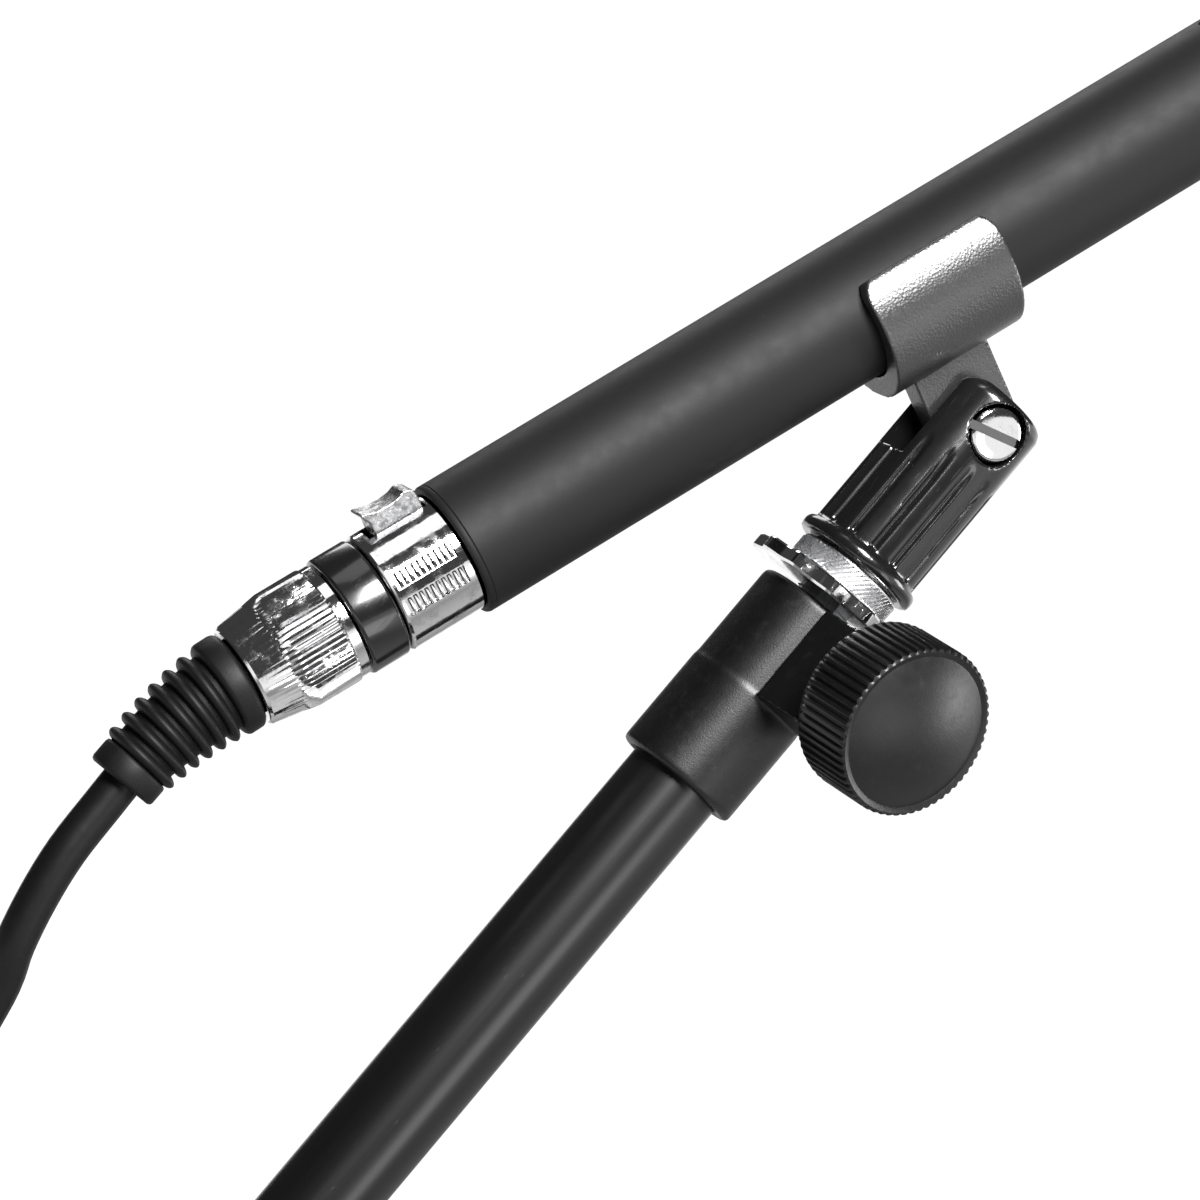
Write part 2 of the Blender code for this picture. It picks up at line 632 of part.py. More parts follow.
def build_mic():
    """Microphone tube with its sound slots, nose cap, liner, capsule, board and connector."""
    bore = MIC_R - MIC_WALL
    nose = MIC_REAR + MIC_LENGTH
    front = nose - NOSE_LENGTH
    rear = MIC_REAR
    body = [(MIC_R - 0.4, front), (MIC_R, front - 0.4), (MIC_R, rear + 0.4), (MIC_R - 0.3, rear)]
    mouth = PLUG_R - GAP
    if mouth < bore - 0.05:
        body += [(mouth, rear), (mouth, rear + MOUTH_DEPTH), (bore, rear + MOUTH_DEPTH)]
    else:
        body += [(bore, rear)]
    body += [(bore, front)]
    shell = turned("mic_body", body, MIC, SKINS["soft_coat"], 32)
    combine(shell, vent_cutter(), "DIFFERENCE")
    neck = bore - GAP
    low = front + GAP
    cap = [(0, nose), (MIC_R - 0.8, nose), (MIC_R, nose - 0.8), (MIC_R, low), (neck, low), (neck, low - 4)]
    cap += [(neck - 1.3, low - 4), (neck - 1.3, nose - 2), (0, nose - 2)]
    turned("nose_cap", cap, MIC, SKINS["tube"])
    last = VENT_FIRST + VENT_PITCH * VENT_ROWS
    ring("slot_liner", neck - 0.1, neck - 0.6, VENT_FIRST - 8, last, MIC, SKINS["mesh_cloth"], 24)
    face = rear + SOCKET_DEPTH
    rod("capsule", neck, CAPSULE_REAR, CAPSULE_REAR + CAPSULE_LENGTH, MIC, SKINS["brass"], 24)
    start = face + SOCKET_THICK + 6
    half = BOARD_WIDTH / 2
    thick = BOARD_THICK / 2
    block("circuit_board", (-thick, -half, start), (thick, half, start + BOARD_LENGTH), MIC, SKINS["board"])
    socket = rod("mic_socket", neck, face, face + SOCKET_THICK, MIC, SKINS["black_plastic"], 24)
    holes = pin_holes("pin_holes", PIN_R + GAP, face - 2, face + SOCKET_THICK + 2, MIC)
    combine(socket, holes, "DIFFERENCE")
    three_pins("mic_pin", face - PIN_REACH, face + SOCKET_THICK + 3, MIC)


def vent_cutter():
    """One cutter for the rows of sound slots along the front half of the tube."""
    mesh = bpy.data.meshes.new("vents")
    made = bmesh.new()
    for row in range(VENT_ROWS):
        for i in range(VENTS_ROUND):
            turn = Matrix.Rotation(2 * math.pi * (i + 0.5 * (row % 2)) / VENTS_ROUND, 4, "Z")
            low = VENT_FIRST + VENT_PITCH * row
            place = Matrix.Translation(Vector((MIC_R, 0, low + VENT_LENGTH / 2)) * MM)
            size = Matrix.Diagonal((4 * MM, VENT_WIDTH * MM, VENT_LENGTH * MM, 1))
            bmesh.ops.create_cube(made, size=1.0, matrix=turn @ place @ size)
    made.to_mesh(mesh)
    made.free()
    return add("vents", mesh, MIC, None)


def pin_places(mirrored=1):
    """Centres of the three contacts on the pin circle."""
    turns = [math.radians(angle) for angle in (60, 180, 300)]
    return [(mirrored * PIN_CIRCLE_R * math.cos(a), PIN_CIRCLE_R * math.sin(a)) for a in turns]


def pin_holes(name, radius, low, high, parent, mirrored=1):
    """One cutter for three parallel holes on the pin circle."""
    mesh = bpy.data.meshes.new(name)
    made = bmesh.new()
    for x, y in pin_places(mirrored):
        place = Matrix.Translation(Vector((x, y, (low + high) / 2)) * MM)
        size = radius * MM
        depth = (high - low) * MM
        bmesh.ops.create_cone(
            made, cap_ends=True, segments=12, radius1=size, radius2=size, depth=depth, matrix=place
        )
    made.to_mesh(mesh)
    made.free()
    return add(name, mesh, parent, None)


def three_pins(name, low, high, parent):
    """Three contact pins, each its own piece on its own axis."""
    for i, (x, y) in enumerate(pin_places()):
        pin = rod(f"{name}_{i + 1}", PIN_R, low, high, parent, SKINS["brass"], 10)
        pin.location = Vector((x, y, 0)) * MM


def build_plug():
    """Cable plug: shell, insert, latch, ring, back nut, chuck, cable end and boot."""
    start = GAP
    end = PLUG_SHELL
    shell = [(PLUG_R - 0.5, end), (PLUG_R, end - 0.5), (PLUG_R, start + 0.5), (PLUG_R - 0.4, start)]
    shell += [(PLUG_NOSE_R, start), (PLUG_NOSE_R, -PLUG_NOSE), (PLUG_BORE_R, -PLUG_NOSE)]
    shell += [(PLUG_BORE_R, end)]
    body = turned("plug_shell", shell, PLUG, SKINS["chrome"], 32)
    floor = PLUG_BORE_R + 0.7
    half = LATCH_WIDTH / 2 + GAP
    pocket = block("latch_pocket", (floor, -half, 1.0), (PLUG_R + 2, half, LATCH_LENGTH + 1.8), PLUG, None)
    combine(body, pocket, "DIFFERENCE")
    core = rod("plug_insert", PLUG_BORE_R - GAP, GAP - PLUG_NOSE, end - 1, PLUG, SKINS["black_plastic"], 24)
    tip = GAP - PLUG_NOSE
    wide = PIN_R + GAP + SOCKET_WALL
    combine(core, pin_holes("socket_holes", wide + GAP, tip - 1, end, PLUG, -1), "DIFFERENCE")
    for i, (x, y) in enumerate(pin_places(-1)):
        socket = [(0, end - 2), (wide, end - 2), (wide, tip + 1)]
        socket += [(PIN_R + GAP, tip + 1), (PIN_R + GAP, 4), (0, 4)]
        contact = turned(f"plug_socket_{i + 1}", socket, PLUG, SKINS["brass"], 12)
        contact.location = Vector((x, y, 0)) * MM
    build_latch(floor)
    low = end + GAP
    high = low + PLUG_RING
    bore = PLUG_BORE_R + GAP
    band = [(PLUG_R - 0.5, high), (PLUG_R, high - 0.5), (PLUG_R, low + 0.5), (PLUG_R - 0.5, low)]
    band += [(bore, low), (bore, high)]
    turned("plug_ring", band, PLUG, SKINS["gloss_plastic"])
    build_back_nut(high + GAP)


def build_latch(floor):
    """Latch tab in the pocket on top of the shell, and the leaf spring under it."""
    slide = frame("latch_frame", PLUG, (0, 0, 0), (90, 0, 0))
    low = floor + 1.0
    top = PLUG_R + LATCH_RISE
    front = 1.4
    back = front + LATCH_LENGTH
    side = [(low, front), (top - 0.6, front + 0.3), (top, front + 1.1), (top, back - 1.4)]
    side += [(top - 0.8, back - 0.4), (PLUG_R + 0.4, back), (low, back)]
    half = LATCH_WIDTH / 2
    plate("latch_tab", [side], -half, half, slide, SKINS["chrome"])
    rest = floor + GAP * 0.4
    lift = LATCH_SPRING_THICK
    near = (rest, 0.6 - half, back - 4.6)
    far = (rest + lift, half - 0.6, back - 0.4)
    block("latch_spring", near, far, PLUG, SKINS["steel"])


def build_back_nut(low):
    """Knurled back nut, the chuck and cable end inside it, and the ribbed boot behind."""
    high = low + PLUG_NUT
    bore = PLUG_BORE_R + 0.7
    neck = CORD_R + 3.2
    straight = low + PLUG_NUT_STRAIGHT
    nut = [(PLUG_NUT_REAR_R - 0.3, high), (PLUG_NUT_REAR_R, high - 0.4), (PLUG_NUT_R - 0.2, straight)]
    nut += [(PLUG_NUT_R, straight - 0.3), (PLUG_NUT_R, low + 0.4), (PLUG_NUT_R - 0.3, low), (bore, low)]
    nut += [(bore, high - 3.8), (neck, high - 2.3), (neck, high)]
    turned("plug_nut", nut, PLUG, SKINS["chrome"])
    grip = CORD_R + GAP
    ring("cable_chuck", bore - GAP, grip, low + 0.4, high - 5, PLUG, SKINS["white_plastic"], SMALL_ROUND)
    rod("cable_end", CORD_R, PLUG_SHELL + 0.7, high - 0.5, PLUG, SKINS["cord_jacket"], SMALL_ROUND)
    build_boot(high + GAP)


def boot_point(travel, start):
    """Distance behind and below the rim of a point of the boot's bent centre line."""
    radius = BOOT_LENGTH / math.radians(BOOT_BEND)
    angle = travel / radius
    return start + radius * math.sin(angle), radius * (1 - math.cos(angle))


def build_boot(start):
    """Ribbed rubber boot that droops a little, from the collar at the nut to the end collar."""
    stations = [(0.0, BOOT_FRONT_R - 0.5), (0.5, BOOT_FRONT_R), (BOOT_COLLAR - 0.3, BOOT_FRONT_R)]
    ribs = BOOT_LENGTH - 2 * BOOT_COLLAR
    pitch = ribs / BOOT_RIBS
    for i in range(BOOT_RIBS):
        radius = BOOT_FRONT_R - 0.3 - (BOOT_FRONT_R - BOOT_REAR_R - 1.0) * i / (BOOT_RIBS - 1)
        rib = BOOT_COLLAR + pitch * i
        stations += [(rib, radius - 0.9), (rib + 0.35 * pitch, radius - 0.9)]
        stations += [(rib + 0.5 * pitch, radius), (rib + 0.9 * pitch, radius)]
    end = BOOT_LENGTH - BOOT_COLLAR
    stations += [(end + 0.1, BOOT_REAR_R), (BOOT_LENGTH - 0.5, BOOT_REAR_R)]
    stations += [(BOOT_LENGTH, BOOT_REAR_R - 0.5)]
    path = []
    for travel, _ in stations:
        back, below = boot_point(travel, start)
        path.append((-below, 0.0, back))
    tube("cable_boot", path, [radius for _, radius in stations], PLUG, SKINS["rubber"])


def cord_lead_points():
    """Route of the cable from the boot, past the far side of the pole, down to the coil."""
    base = along_pole(HEAD_BASE)
    start = PLUG_SHELL + PLUG_RING + PLUG_NUT + 3 * GAP
    points = []
    for travel in (BOOT_LENGTH + GAP, BOOT_LENGTH + 4):
        back, below = boot_point(travel, start)
        points.append(behind_mic(back, below))
    for back, below, aside in ((73.5, 9.3, 0.0), (80.5, 13.4, 0.3), (86.8, 18.2, 1.0), (91.5, 23.2, 2.4)):
        points.append(behind_mic(back, below, aside))
    for x, y, z in (
        (-115.5, 5.2, -33),
        (-118.8, 9.6, -50),
        (-121.0, 13.6, -70),
        (-121.6, 17.4, -92),
        (-121.3, 19.2, -116),
        (-120.6, 19.9, -140),
        (-120.0, 20.0, -164),
    ):
        points.append(base + Vector((x, y, z)))
    outer = COIL_INNER_R + 2 * CORD_R * COIL_TURNS_DEEP
    x, y, z = COIL_CENTRE
    rise = math.sqrt(outer**2 - (abs(LEAD_ENTRY) - CORD_R) ** 2) + 2 * GAP
    near_layer = y - CORD_R * (COIL_TURNS_WIDE - 1)
    points.append(base + Vector((x + LEAD_ENTRY, near_layer, z + rise)))
    return points


def build_cord():
    """Cable from the boot, its tied coil, the short tail and the plug on its far end."""
    jacket = SKINS["cord_jacket"]
    tube("cord_lead", smooth_path(cord_lead_points(), 5 * CORD_R), CORD_R, None, jacket)
    base = along_pole(HEAD_BASE)
    coil = frame("coil_frame", None, base + Vector(COIL_CENTRE), (90, 0, 0))
    inner = COIL_INNER_R
    outer = inner + 2 * CORD_R * COIL_TURNS_DEEP
    half = CORD_R * COIL_TURNS_WIDE
    edge = CORD_R
    profile = [(outer - edge, half), (outer, half - edge), (outer, edge - half), (outer - edge, -half)]
    profile += [(inner + edge, -half), (inner, edge - half), (inner, half - edge), (inner + edge, half)]
    turned("cord_coil", profile, coil, jacket, 36)
    build_tie(base + Vector(COIL_CENTRE), inner, outer, half)
    side = outer - CORD_R
    drop = math.sqrt(outer**2 - (side - CORD_R) ** 2) + 2 * GAP
    far_layer = CORD_R * (COIL_TURNS_WIDE - 1)
    leaves = base + Vector(COIL_CENTRE) + Vector((-side, far_layer, -drop))
    tail = frame("tail_frame", None, leaves, (180, 0, 0))
    tube("cord_tail", [Vector((0, 0, TAIL_LENGTH * i / 4)) for i in range(5)], CORD_R, tail, jacket)
    build_end_plug(tail)


def build_tie(place, inner, outer, half):
    """Hook-and-loop strap round the top of the coil."""
    reach = TIE_WIDTH / 2
    low = math.sqrt(inner**2 - reach**2) - GAP
    high = outer + GAP
    wide = half + GAP
    hole = [(-wide, low), (wide, low), (wide, high), (-wide, high)]
    low, high, wide = low - TIE_THICK, high + TIE_THICK, wide + TIE_THICK
    band = [(-wide, low), (wide, low), (wide, high), (-wide, high)]
    across = frame("tie_frame", None, place, (90, 0, 90))
    plate("cord_tie", [band, hole], -reach, reach, across, SKINS["strap"])


def build_end_plug(tail):
    """Boot, shell, insert and pins of the plug on the far end of the cable."""
    start = TAIL_LENGTH + GAP
    end = start + END_BOOT_LENGTH
    boot = [(0, end), (7.6, end), (7.2, end - 4), (5.2, start), (0, start)]
    turned("end_boot", boot, tail, SKINS["rubber"], 20)
    low = end + GAP
    high = low + END_SHELL_LENGTH
    bore = END_SHELL_R - 1.2
    back = low + 14
    shell = [(END_SHELL_R - 0.3, high), (END_SHELL_R, high - 0.3), (END_SHELL_R, low + 12), (8.2, low)]
    shell += [(0, low), (0, back)]
    barrel = [(bore, high), *shell[:-1], (0, back), (bore, back)]
    turned("end_shell", barrel, tail, SKINS["chrome"])
    seat = back + GAP
    insert = rod("end_insert", bore - GAP, seat, seat + 14, tail, SKINS["black_plastic"], 20)
    combine(insert, pin_holes("end_pin_holes", PIN_R + GAP, seat + 1.5, seat + 16, tail), "DIFFERENCE")
    three_pins("end_pin", seat + 1.8, high - 2, tail)


def main():
    build_lower_pole()
    build_inner_pole()
    build_sleeve()
    build_knob()
    build_thread()
    build_swivel()
    build_pivot()
    build_clip()
    build_mic()
    build_plug()
    build_cord()


if __name__ == "__main__":
    main()
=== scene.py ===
"""Looks of a boom pole with its swivel clip, microphone and cable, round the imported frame.

Profiles are in millimetres. Stations run along a piece's own axis, and frames place them.
"""

import json
import math

import bmesh
import bpy
from mathutils import Matrix, Vector


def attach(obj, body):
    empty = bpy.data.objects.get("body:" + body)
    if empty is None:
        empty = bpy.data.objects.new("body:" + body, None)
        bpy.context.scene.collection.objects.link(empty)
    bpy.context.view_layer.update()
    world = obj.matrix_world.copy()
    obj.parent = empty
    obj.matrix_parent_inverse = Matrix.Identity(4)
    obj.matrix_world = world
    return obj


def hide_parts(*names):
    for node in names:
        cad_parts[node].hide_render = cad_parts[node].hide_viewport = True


bl_info = {
    "name": "Boom pole",
    "version": (1, 0, 0),
    "blender": (4, 5, 0),
    "location": "3D View > Sidebar > Boom pole",
    "description": "Builds the fine pieces and finishes of a boom pole on its packed frame",
    "category": "Object",
}

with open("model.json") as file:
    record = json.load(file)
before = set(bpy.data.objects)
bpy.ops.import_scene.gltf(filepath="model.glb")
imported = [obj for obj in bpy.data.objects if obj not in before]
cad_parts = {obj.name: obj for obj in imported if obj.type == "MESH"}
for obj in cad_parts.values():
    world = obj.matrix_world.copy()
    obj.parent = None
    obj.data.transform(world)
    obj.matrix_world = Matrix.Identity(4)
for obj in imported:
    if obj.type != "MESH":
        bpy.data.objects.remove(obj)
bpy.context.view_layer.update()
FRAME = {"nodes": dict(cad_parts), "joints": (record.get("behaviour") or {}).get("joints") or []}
MM = 0.001
JOINTS = {joint["name"]: joint for joint in FRAME["joints"]}
WORLD_Y = Vector((0, 1, 0))

# Stations along the pole from the lower end of the clamp sleeve
HINGE_STATION = 73.7
KNOB_STATION = 27.1
SLEEVE_TOP = 35.2
# How far below that end the lower pole has its own origin
HEAD_BASE = 380.0
# Thickness of the sleeve's roof
SLEEVE_ROOF = 3.6
# Radii of the holes for the threaded stud and the pivot screw
THREAD_HOLE = 5.05
PIVOT_HOLE = 2.8
# Microphone axis above the hinge, and its rear rim behind it
MIC_HEIGHT = 27.5
MIC_REAR = -85.3

POLE_AXIS = Vector(JOINTS["telescope"]["axis"]).normalized()
MIC_AXIS = Vector(JOINTS["mic_slide"]["axis"]).normalized()
KNOB_AXIS = Vector(JOINTS["knob_turn"]["axis"]).normalized()
HINGE = Vector(JOINTS["clip_tilt"]["pos_m"])


def placed(origin, z_axis, x_axis):
    """Frame with its origin, its Z along one direction and its X along another at right angles."""
    z_axis = z_axis.normalized()
    x_axis = x_axis.normalized()
    turn = Matrix((x_axis, z_axis.cross(x_axis), z_axis)).transposed()
    return Matrix.Translation(origin) @ turn.to_4x4()


SLEEVE_FOOT = HINGE - POLE_AXIS * HINGE_STATION * MM
MIC_DOWN = WORLD_Y.cross(MIC_AXIS)
MIC_FOOT = HINGE - MIC_DOWN * MIC_HEIGHT * MM
MIC_RIM = MIC_FOOT + MIC_AXIS * MIC_REAR * MM
POLE = placed(SLEEVE_FOOT, POLE_AXIS, WORLD_Y.cross(POLE_AXIS))
GRIP = placed(SLEEVE_FOOT - POLE_AXIS * HEAD_BASE * MM, POLE_AXIS, WORLD_Y.cross(POLE_AXIS))
KNOB = placed(SLEEVE_FOOT + POLE_AXIS * KNOB_STATION * MM, KNOB_AXIS, POLE_AXIS.cross(KNOB_AXIS))
PIVOT = placed(HINGE, WORLD_Y, MIC_AXIS)
MIC = placed(MIC_FOOT, MIC_AXIS, MIC_DOWN)
PLUG = placed(MIC_RIM, -MIC_AXIS, -MIC_DOWN)
# Turns an outline in XY up into a frame's X and Z
ACROSS = Matrix(((1, 0, 0, 0), (0, 0, -1, 0), (0, 1, 0, 0), (0, 0, 0, 1)))


# ---------------------------------------------------------------- settings


def length(name, description, default):
    return bpy.props.FloatProperty(name=name, description=description, default=default, unit="LENGTH")


def colour(name, description, default):
    return bpy.props.FloatVectorProperty(
        name=name, description=description, default=default, subtype="COLOR", size=3, min=0, max=1
    )


class PoleSizes(bpy.types.PropertyGroup):
    """Sizes of the pole and its head."""

    outer_tube: length("Outer tube radius", "Outside radius of the lower tube", 0.01025)
    inner_tube: length("Inner tube radius", "Outside radius of the sliding tube", 0.00795)
    grip: length("Grip radius", "Outside radius of the foam grip", 0.0136)
    collar: length("Collar radius", "Outside radius of the twist collar", 0.0135)
    sleeve: length("Sleeve radius", "Outside radius of the clamp sleeve", 0.0105)
    knob: length("Knob radius", "Outside radius of the clamp knob", 0.0139)
    nut: length("Lock nut radius", "Radius over the lobes of the lock nut", 0.0146)
    swivel: length("Swivel radius", "Outside radius of the fluted swivel base", 0.0097)


class MicSizes(bpy.types.PropertyGroup):
    """Sizes of the microphone, its clip and its plug."""

    body: length("Body radius", "Outside radius of the microphone", 0.011)
    total: length("Body length", "Length of the microphone", 0.250)
    clip_wall: length("Clip wall", "Wall of the clip at its lips", 0.0024)
    plug: length("Plug radius", "Outside radius of the plug", 0.0099)
    cord: length("Cord radius", "Radius of the cable", 0.003175)


class FinishColours(bpy.types.PropertyGroup):
    """Base colours of the finishes."""

    soft_touch: colour("Soft-touch coat", "Coat of the microphone", (0.0055, 0.0055, 0.0060))
    tube: colour("Tube enamel", "Satin enamel of the tubes", (0.0024, 0.0024, 0.0026))
    moulded: colour("Moulded black", "Sleeve, knob and collar", (0.0022, 0.0022, 0.0023))
    gloss: colour("Gloss black", "Swivel base and plug ring", (0.005, 0.005, 0.0053))
    grained: colour("Grained grey", "Microphone clip", (0.015, 0.015, 0.0160))
    rubber: colour("Rubber", "Boots and butt cap", (0.0028, 0.0028, 0.0029))
    foam: colour("Foam", "Grip", (0.016, 0.016, 0.017))
    chrome: colour("Chrome", "Plated pieces", (0.80, 0.80, 0.81))
    jacket: colour("Cord jacket", "Cable", (0.0028, 0.0028, 0.0029))


# ---------------------------------------------------------------- modelling


def clear_selection():
    """Leaves edit mode with nothing selected."""
    if bpy.context.mode != "OBJECT":
        bpy.ops.object.mode_set(mode="OBJECT")
    bpy.ops.object.select_all(action="DESELECT")


def pick(obj):
    """Selects one object alone and makes it active."""
    clear_selection()
    obj.select_set(True)
    bpy.context.view_layer.objects.active = obj


def shade(obj, sharp):
    """Shades an object smooth below an angle."""
    pick(obj)
    bpy.ops.object.shade_smooth_by_angle(angle=math.radians(sharp))
    return obj


def settle(obj, place):
    """Applies a piece's place to its mesh and leaves the object at the origin."""
    pick(obj)
    obj.matrix_world = place
    bpy.ops.object.transform_apply(location=True, rotation=True, scale=True)
    return obj


def close_up(obj, sharp=35.0):
    """Merges doubles, turns the faces outwards and shades smooth below an angle."""
    pick(obj)
    bpy.ops.object.mode_set(mode="EDIT")
    bpy.ops.mesh.select_all(action="SELECT")
    bpy.ops.mesh.remove_doubles(threshold=0.000002)
    bpy.ops.mesh.normals_make_consistent(inside=False)
    bpy.ops.object.mode_set(mode="OBJECT")
    return shade(obj, sharp)


def select_where(test):
    """Selects, in edit mode, the vertices whose place passes a test."""
    mesh = bmesh.from_edit_mesh(bpy.context.edit_object.data)
    for vert in mesh.verts:
        vert.select = test(vert.co)
    mesh.select_flush_mode()
    bmesh.update_edit_mesh(bpy.context.edit_object.data)


def turned(name, profile, place, steps=96, sharp=35.0):
    """A piece turned about its axis: a profile drawn point by point, then spun."""
    clear_selection()
    bpy.ops.mesh.primitive_plane_add(size=MM)
    obj = bpy.context.active_object
    obj.name = name
    bpy.ops.object.mode_set(mode="EDIT")
    bpy.ops.mesh.select_all(action="SELECT")
    bpy.ops.mesh.merge(type="CENTER")
    radius, height = profile[0]
    bpy.ops.transform.translate(value=(radius * MM, 0, height * MM))
    for next_radius, next_height in profile[1:]:
        step = ((next_radius - radius) * MM, 0, (next_height - height) * MM)
        bpy.ops.mesh.extrude_vertices_move(TRANSFORM_OT_translate={"value": step})
        radius, height = next_radius, next_height
    bpy.ops.mesh.select_all(action="SELECT")
    bpy.ops.mesh.spin(steps=steps, angle=2 * math.pi, center=(0, 0, 0), axis=(0, 0, 1), use_auto_merge=True)
    bpy.ops.object.mode_set(mode="OBJECT")
    close_up(obj, sharp)
    return settle(obj, place)


def drill(name, size, start, end, place, sides):
    """A solid cylinder to cut with, between two stations."""
    return turned(name, [(0, start), (size, start), (size, end), (0, end)], place, sides)


def fluted(name, rings, teeth, pattern, place, sharp=35.0):
    """A toothed piece drawn ring by ring, with a pattern round each tooth.

    A toothed ring is (radius, height, depth, shift) and a plain one (radius, height).
    """
    clear_selection()
    rings = [(*ring, 0, 0)[:4] for ring in rings]
    per = len(pattern)
    count = teeth * per
    first = 1 if rings[0][0] == 0 else 0
    fill = "TRIFAN" if first else "NOTHING"
    radius, height = rings[first][:2]
    bpy.ops.mesh.primitive_circle_add(vertices=count, radius=radius * MM, fill_type=fill, location=(0, 0, 0))
    obj = bpy.context.active_object
    obj.name = name
    bpy.ops.object.mode_set(mode="EDIT")
    if first:
        select_where(lambda co: co.xy.length < 0.5 * radius * MM)
        bpy.ops.transform.translate(value=(0, 0, (rings[0][1] - height) * MM))
        select_where(lambda co: co.xy.length > 0.5 * radius * MM)
    bpy.ops.mesh.select_all(action="SELECT")
    bpy.ops.transform.translate(value=(0, 0, height * MM))
    if first:
        select_where(lambda co: co.xy.length > 0.5 * radius * MM)
    cut_teeth(rings[first], teeth, pattern)
    for ring in rings[first + 1 :]:
        scale = ring[0] / radius
        bpy.ops.mesh.extrude_region_move(TRANSFORM_OT_translate={"value": (0, 0, (ring[1] - height) * MM)})
        bpy.ops.transform.resize(value=(scale, scale, 1), center_override=(0, 0, ring[1] * MM))
        radius, height = ring[:2]
        cut_teeth(ring, teeth, pattern)
    bpy.ops.object.mode_set(mode="OBJECT")
    close_up(obj, sharp)
    return settle(obj, place)


def cut_teeth(ring, teeth, pattern):
    """Sets the selected ring's vertices to its radius, less the depth times the pattern."""
    radius, _, depth, shift = ring
    if not radius:
        return
    per = len(pattern)
    step = 2 * math.pi / (teeth * per)
    mesh = bmesh.from_edit_mesh(bpy.context.edit_object.data)
    for vert in mesh.verts:
        if vert.select:
            index = round(math.atan2(vert.co.y, vert.co.x) / step)
            reach = (radius - depth * pattern[(index + shift) % per]) * MM
            vert.co.x = reach * math.cos(index * step)
            vert.co.y = reach * math.sin(index * step)
    bmesh.update_edit_mesh(bpy.context.edit_object.data)


def bar(name, low, high, place, edge=0.0, segments=2):
    """A bar between two corners with its edges bevelled."""
    clear_selection()
    bpy.ops.mesh.primitive_cube_add(size=1)
    obj = bpy.context.active_object
    obj.name = name
    middle = [(a + b) / 2 * MM for a, b in zip(low, high)]
    sides = [(b - a) * MM for a, b in zip(low, high)]
    bpy.ops.object.mode_set(mode="EDIT")
    bpy.ops.mesh.select_all(action="SELECT")
    bpy.ops.transform.resize(value=sides)
    bpy.ops.transform.translate(value=middle)
    if edge:
        bpy.ops.mesh.bevel(offset=edge * MM, segments=segments, profile=0.5, affect="EDGES")
    bpy.ops.object.mode_set(mode="OBJECT")
    return settle(obj, place)


def outline_plate(name, outline, low, high, place, sharp=35.0):
    """A plate from an outline in XY, drawn point by point, closed, filled and raised."""
    clear_selection()
    bpy.ops.mesh.primitive_plane_add(size=MM)
    obj = bpy.context.active_object
    obj.name = name
    bpy.ops.object.mode_set(mode="EDIT")
    bpy.ops.mesh.select_all(action="SELECT")
    bpy.ops.mesh.merge(type="CENTER")
    x, y = outline[0]
    bpy.ops.transform.translate(value=(x * MM, y * MM, low * MM))
    for next_x, next_y in outline[1:]:
        step = ((next_x - x) * MM, (next_y - y) * MM, 0)
        bpy.ops.mesh.extrude_vertices_move(TRANSFORM_OT_translate={"value": step})
        x, y = next_x, next_y
    bpy.ops.mesh.select_all(action="SELECT")
    bpy.ops.mesh.edge_face_add()
    bpy.ops.mesh.extrude_region_move(TRANSFORM_OT_translate={"value": (0, 0, (high - low) * MM)})
    bpy.ops.object.mode_set(mode="OBJECT")
    close_up(obj, sharp)
    return settle(obj, place)


def combine(obj, others, operation):
    """Cuts with, joins or keeps the overlap of other pieces, which are used up."""
    for other in others:
        pick(obj)
        change = obj.modifiers.new(other.name, "BOOLEAN")
        change.operation = operation
        change.solver = "EXACT"
        change.object = other
        bpy.ops.object.modifier_apply(modifier=change.name)
        bpy.data.objects.remove(other)
    return obj


def joined(name, pieces):
    """Several pieces as one object."""
    clear_selection()
    for piece in pieces:
        piece.select_set(True)
    bpy.context.view_layer.objects.active = pieces[0]
    bpy.ops.object.join()
    pieces[0].name = name
    return pieces[0]


def soften(obj, voxel, passes, sharp=60.0):
    """Rounds every edge a little, as a moulding has: an even fine skin, then smoothed."""
    pick(obj)
    skin = obj.modifiers.new("skin", "REMESH")
    skin.mode = "VOXEL"
    skin.voxel_size = voxel * MM
    bpy.ops.object.modifier_apply(modifier=skin.name)
    smooth = obj.modifiers.new("smooth", "SMOOTH")
    smooth.factor = 0.5
    smooth.iterations = passes
    bpy.ops.object.modifier_apply(modifier=smooth.name)
    return shade(obj, sharp)


def line_curve(name, path, radii, sides):
    """A round cord or boot along a path in metres; radii is one radius, or one for each point."""
    if not isinstance(radii, list):
        radii = [radii] * len(path)
    curve = bpy.data.curves.new(name, "CURVE")
    curve.dimensions = "3D"
    curve.bevel_depth = MM
    curve.bevel_resolution = sides
    curve.use_fill_caps = True
    spline = curve.splines.new("POLY")
    spline.points.add(len(path) - 1)
    for point, at, radius in zip(spline.points, path, radii):
        point.co = (*at, 1.0)
        point.radius = radius
    spline.use_smooth = True
    obj = bpy.data.objects.new(name, curve)
    bpy.context.scene.collection.objects.link(obj)
    return obj


def smooth_path(points, spacing):
    """A curve through the points (Catmull-Rom), sampled at about the spacing."""
    ends = [points[0] * 2 - points[1], *points, points[-1] * 2 - points[-2]]
    path = []
    for a, b, c, d in zip(ends, ends[1:], ends[2:], ends[3:]):
        count = max(1, round((c - b).length / spacing))
        for i in range(count):
            t = i / count
            path.append(
                0.5 * (b * 2 + (c - a) * t + (a * 2 - b * 5 + c * 4 - d) * t**2)
                + 0.5 * (b * 3 - a - c * 3 + d) * t**3
            )
    path.append(points[-1])
    return path


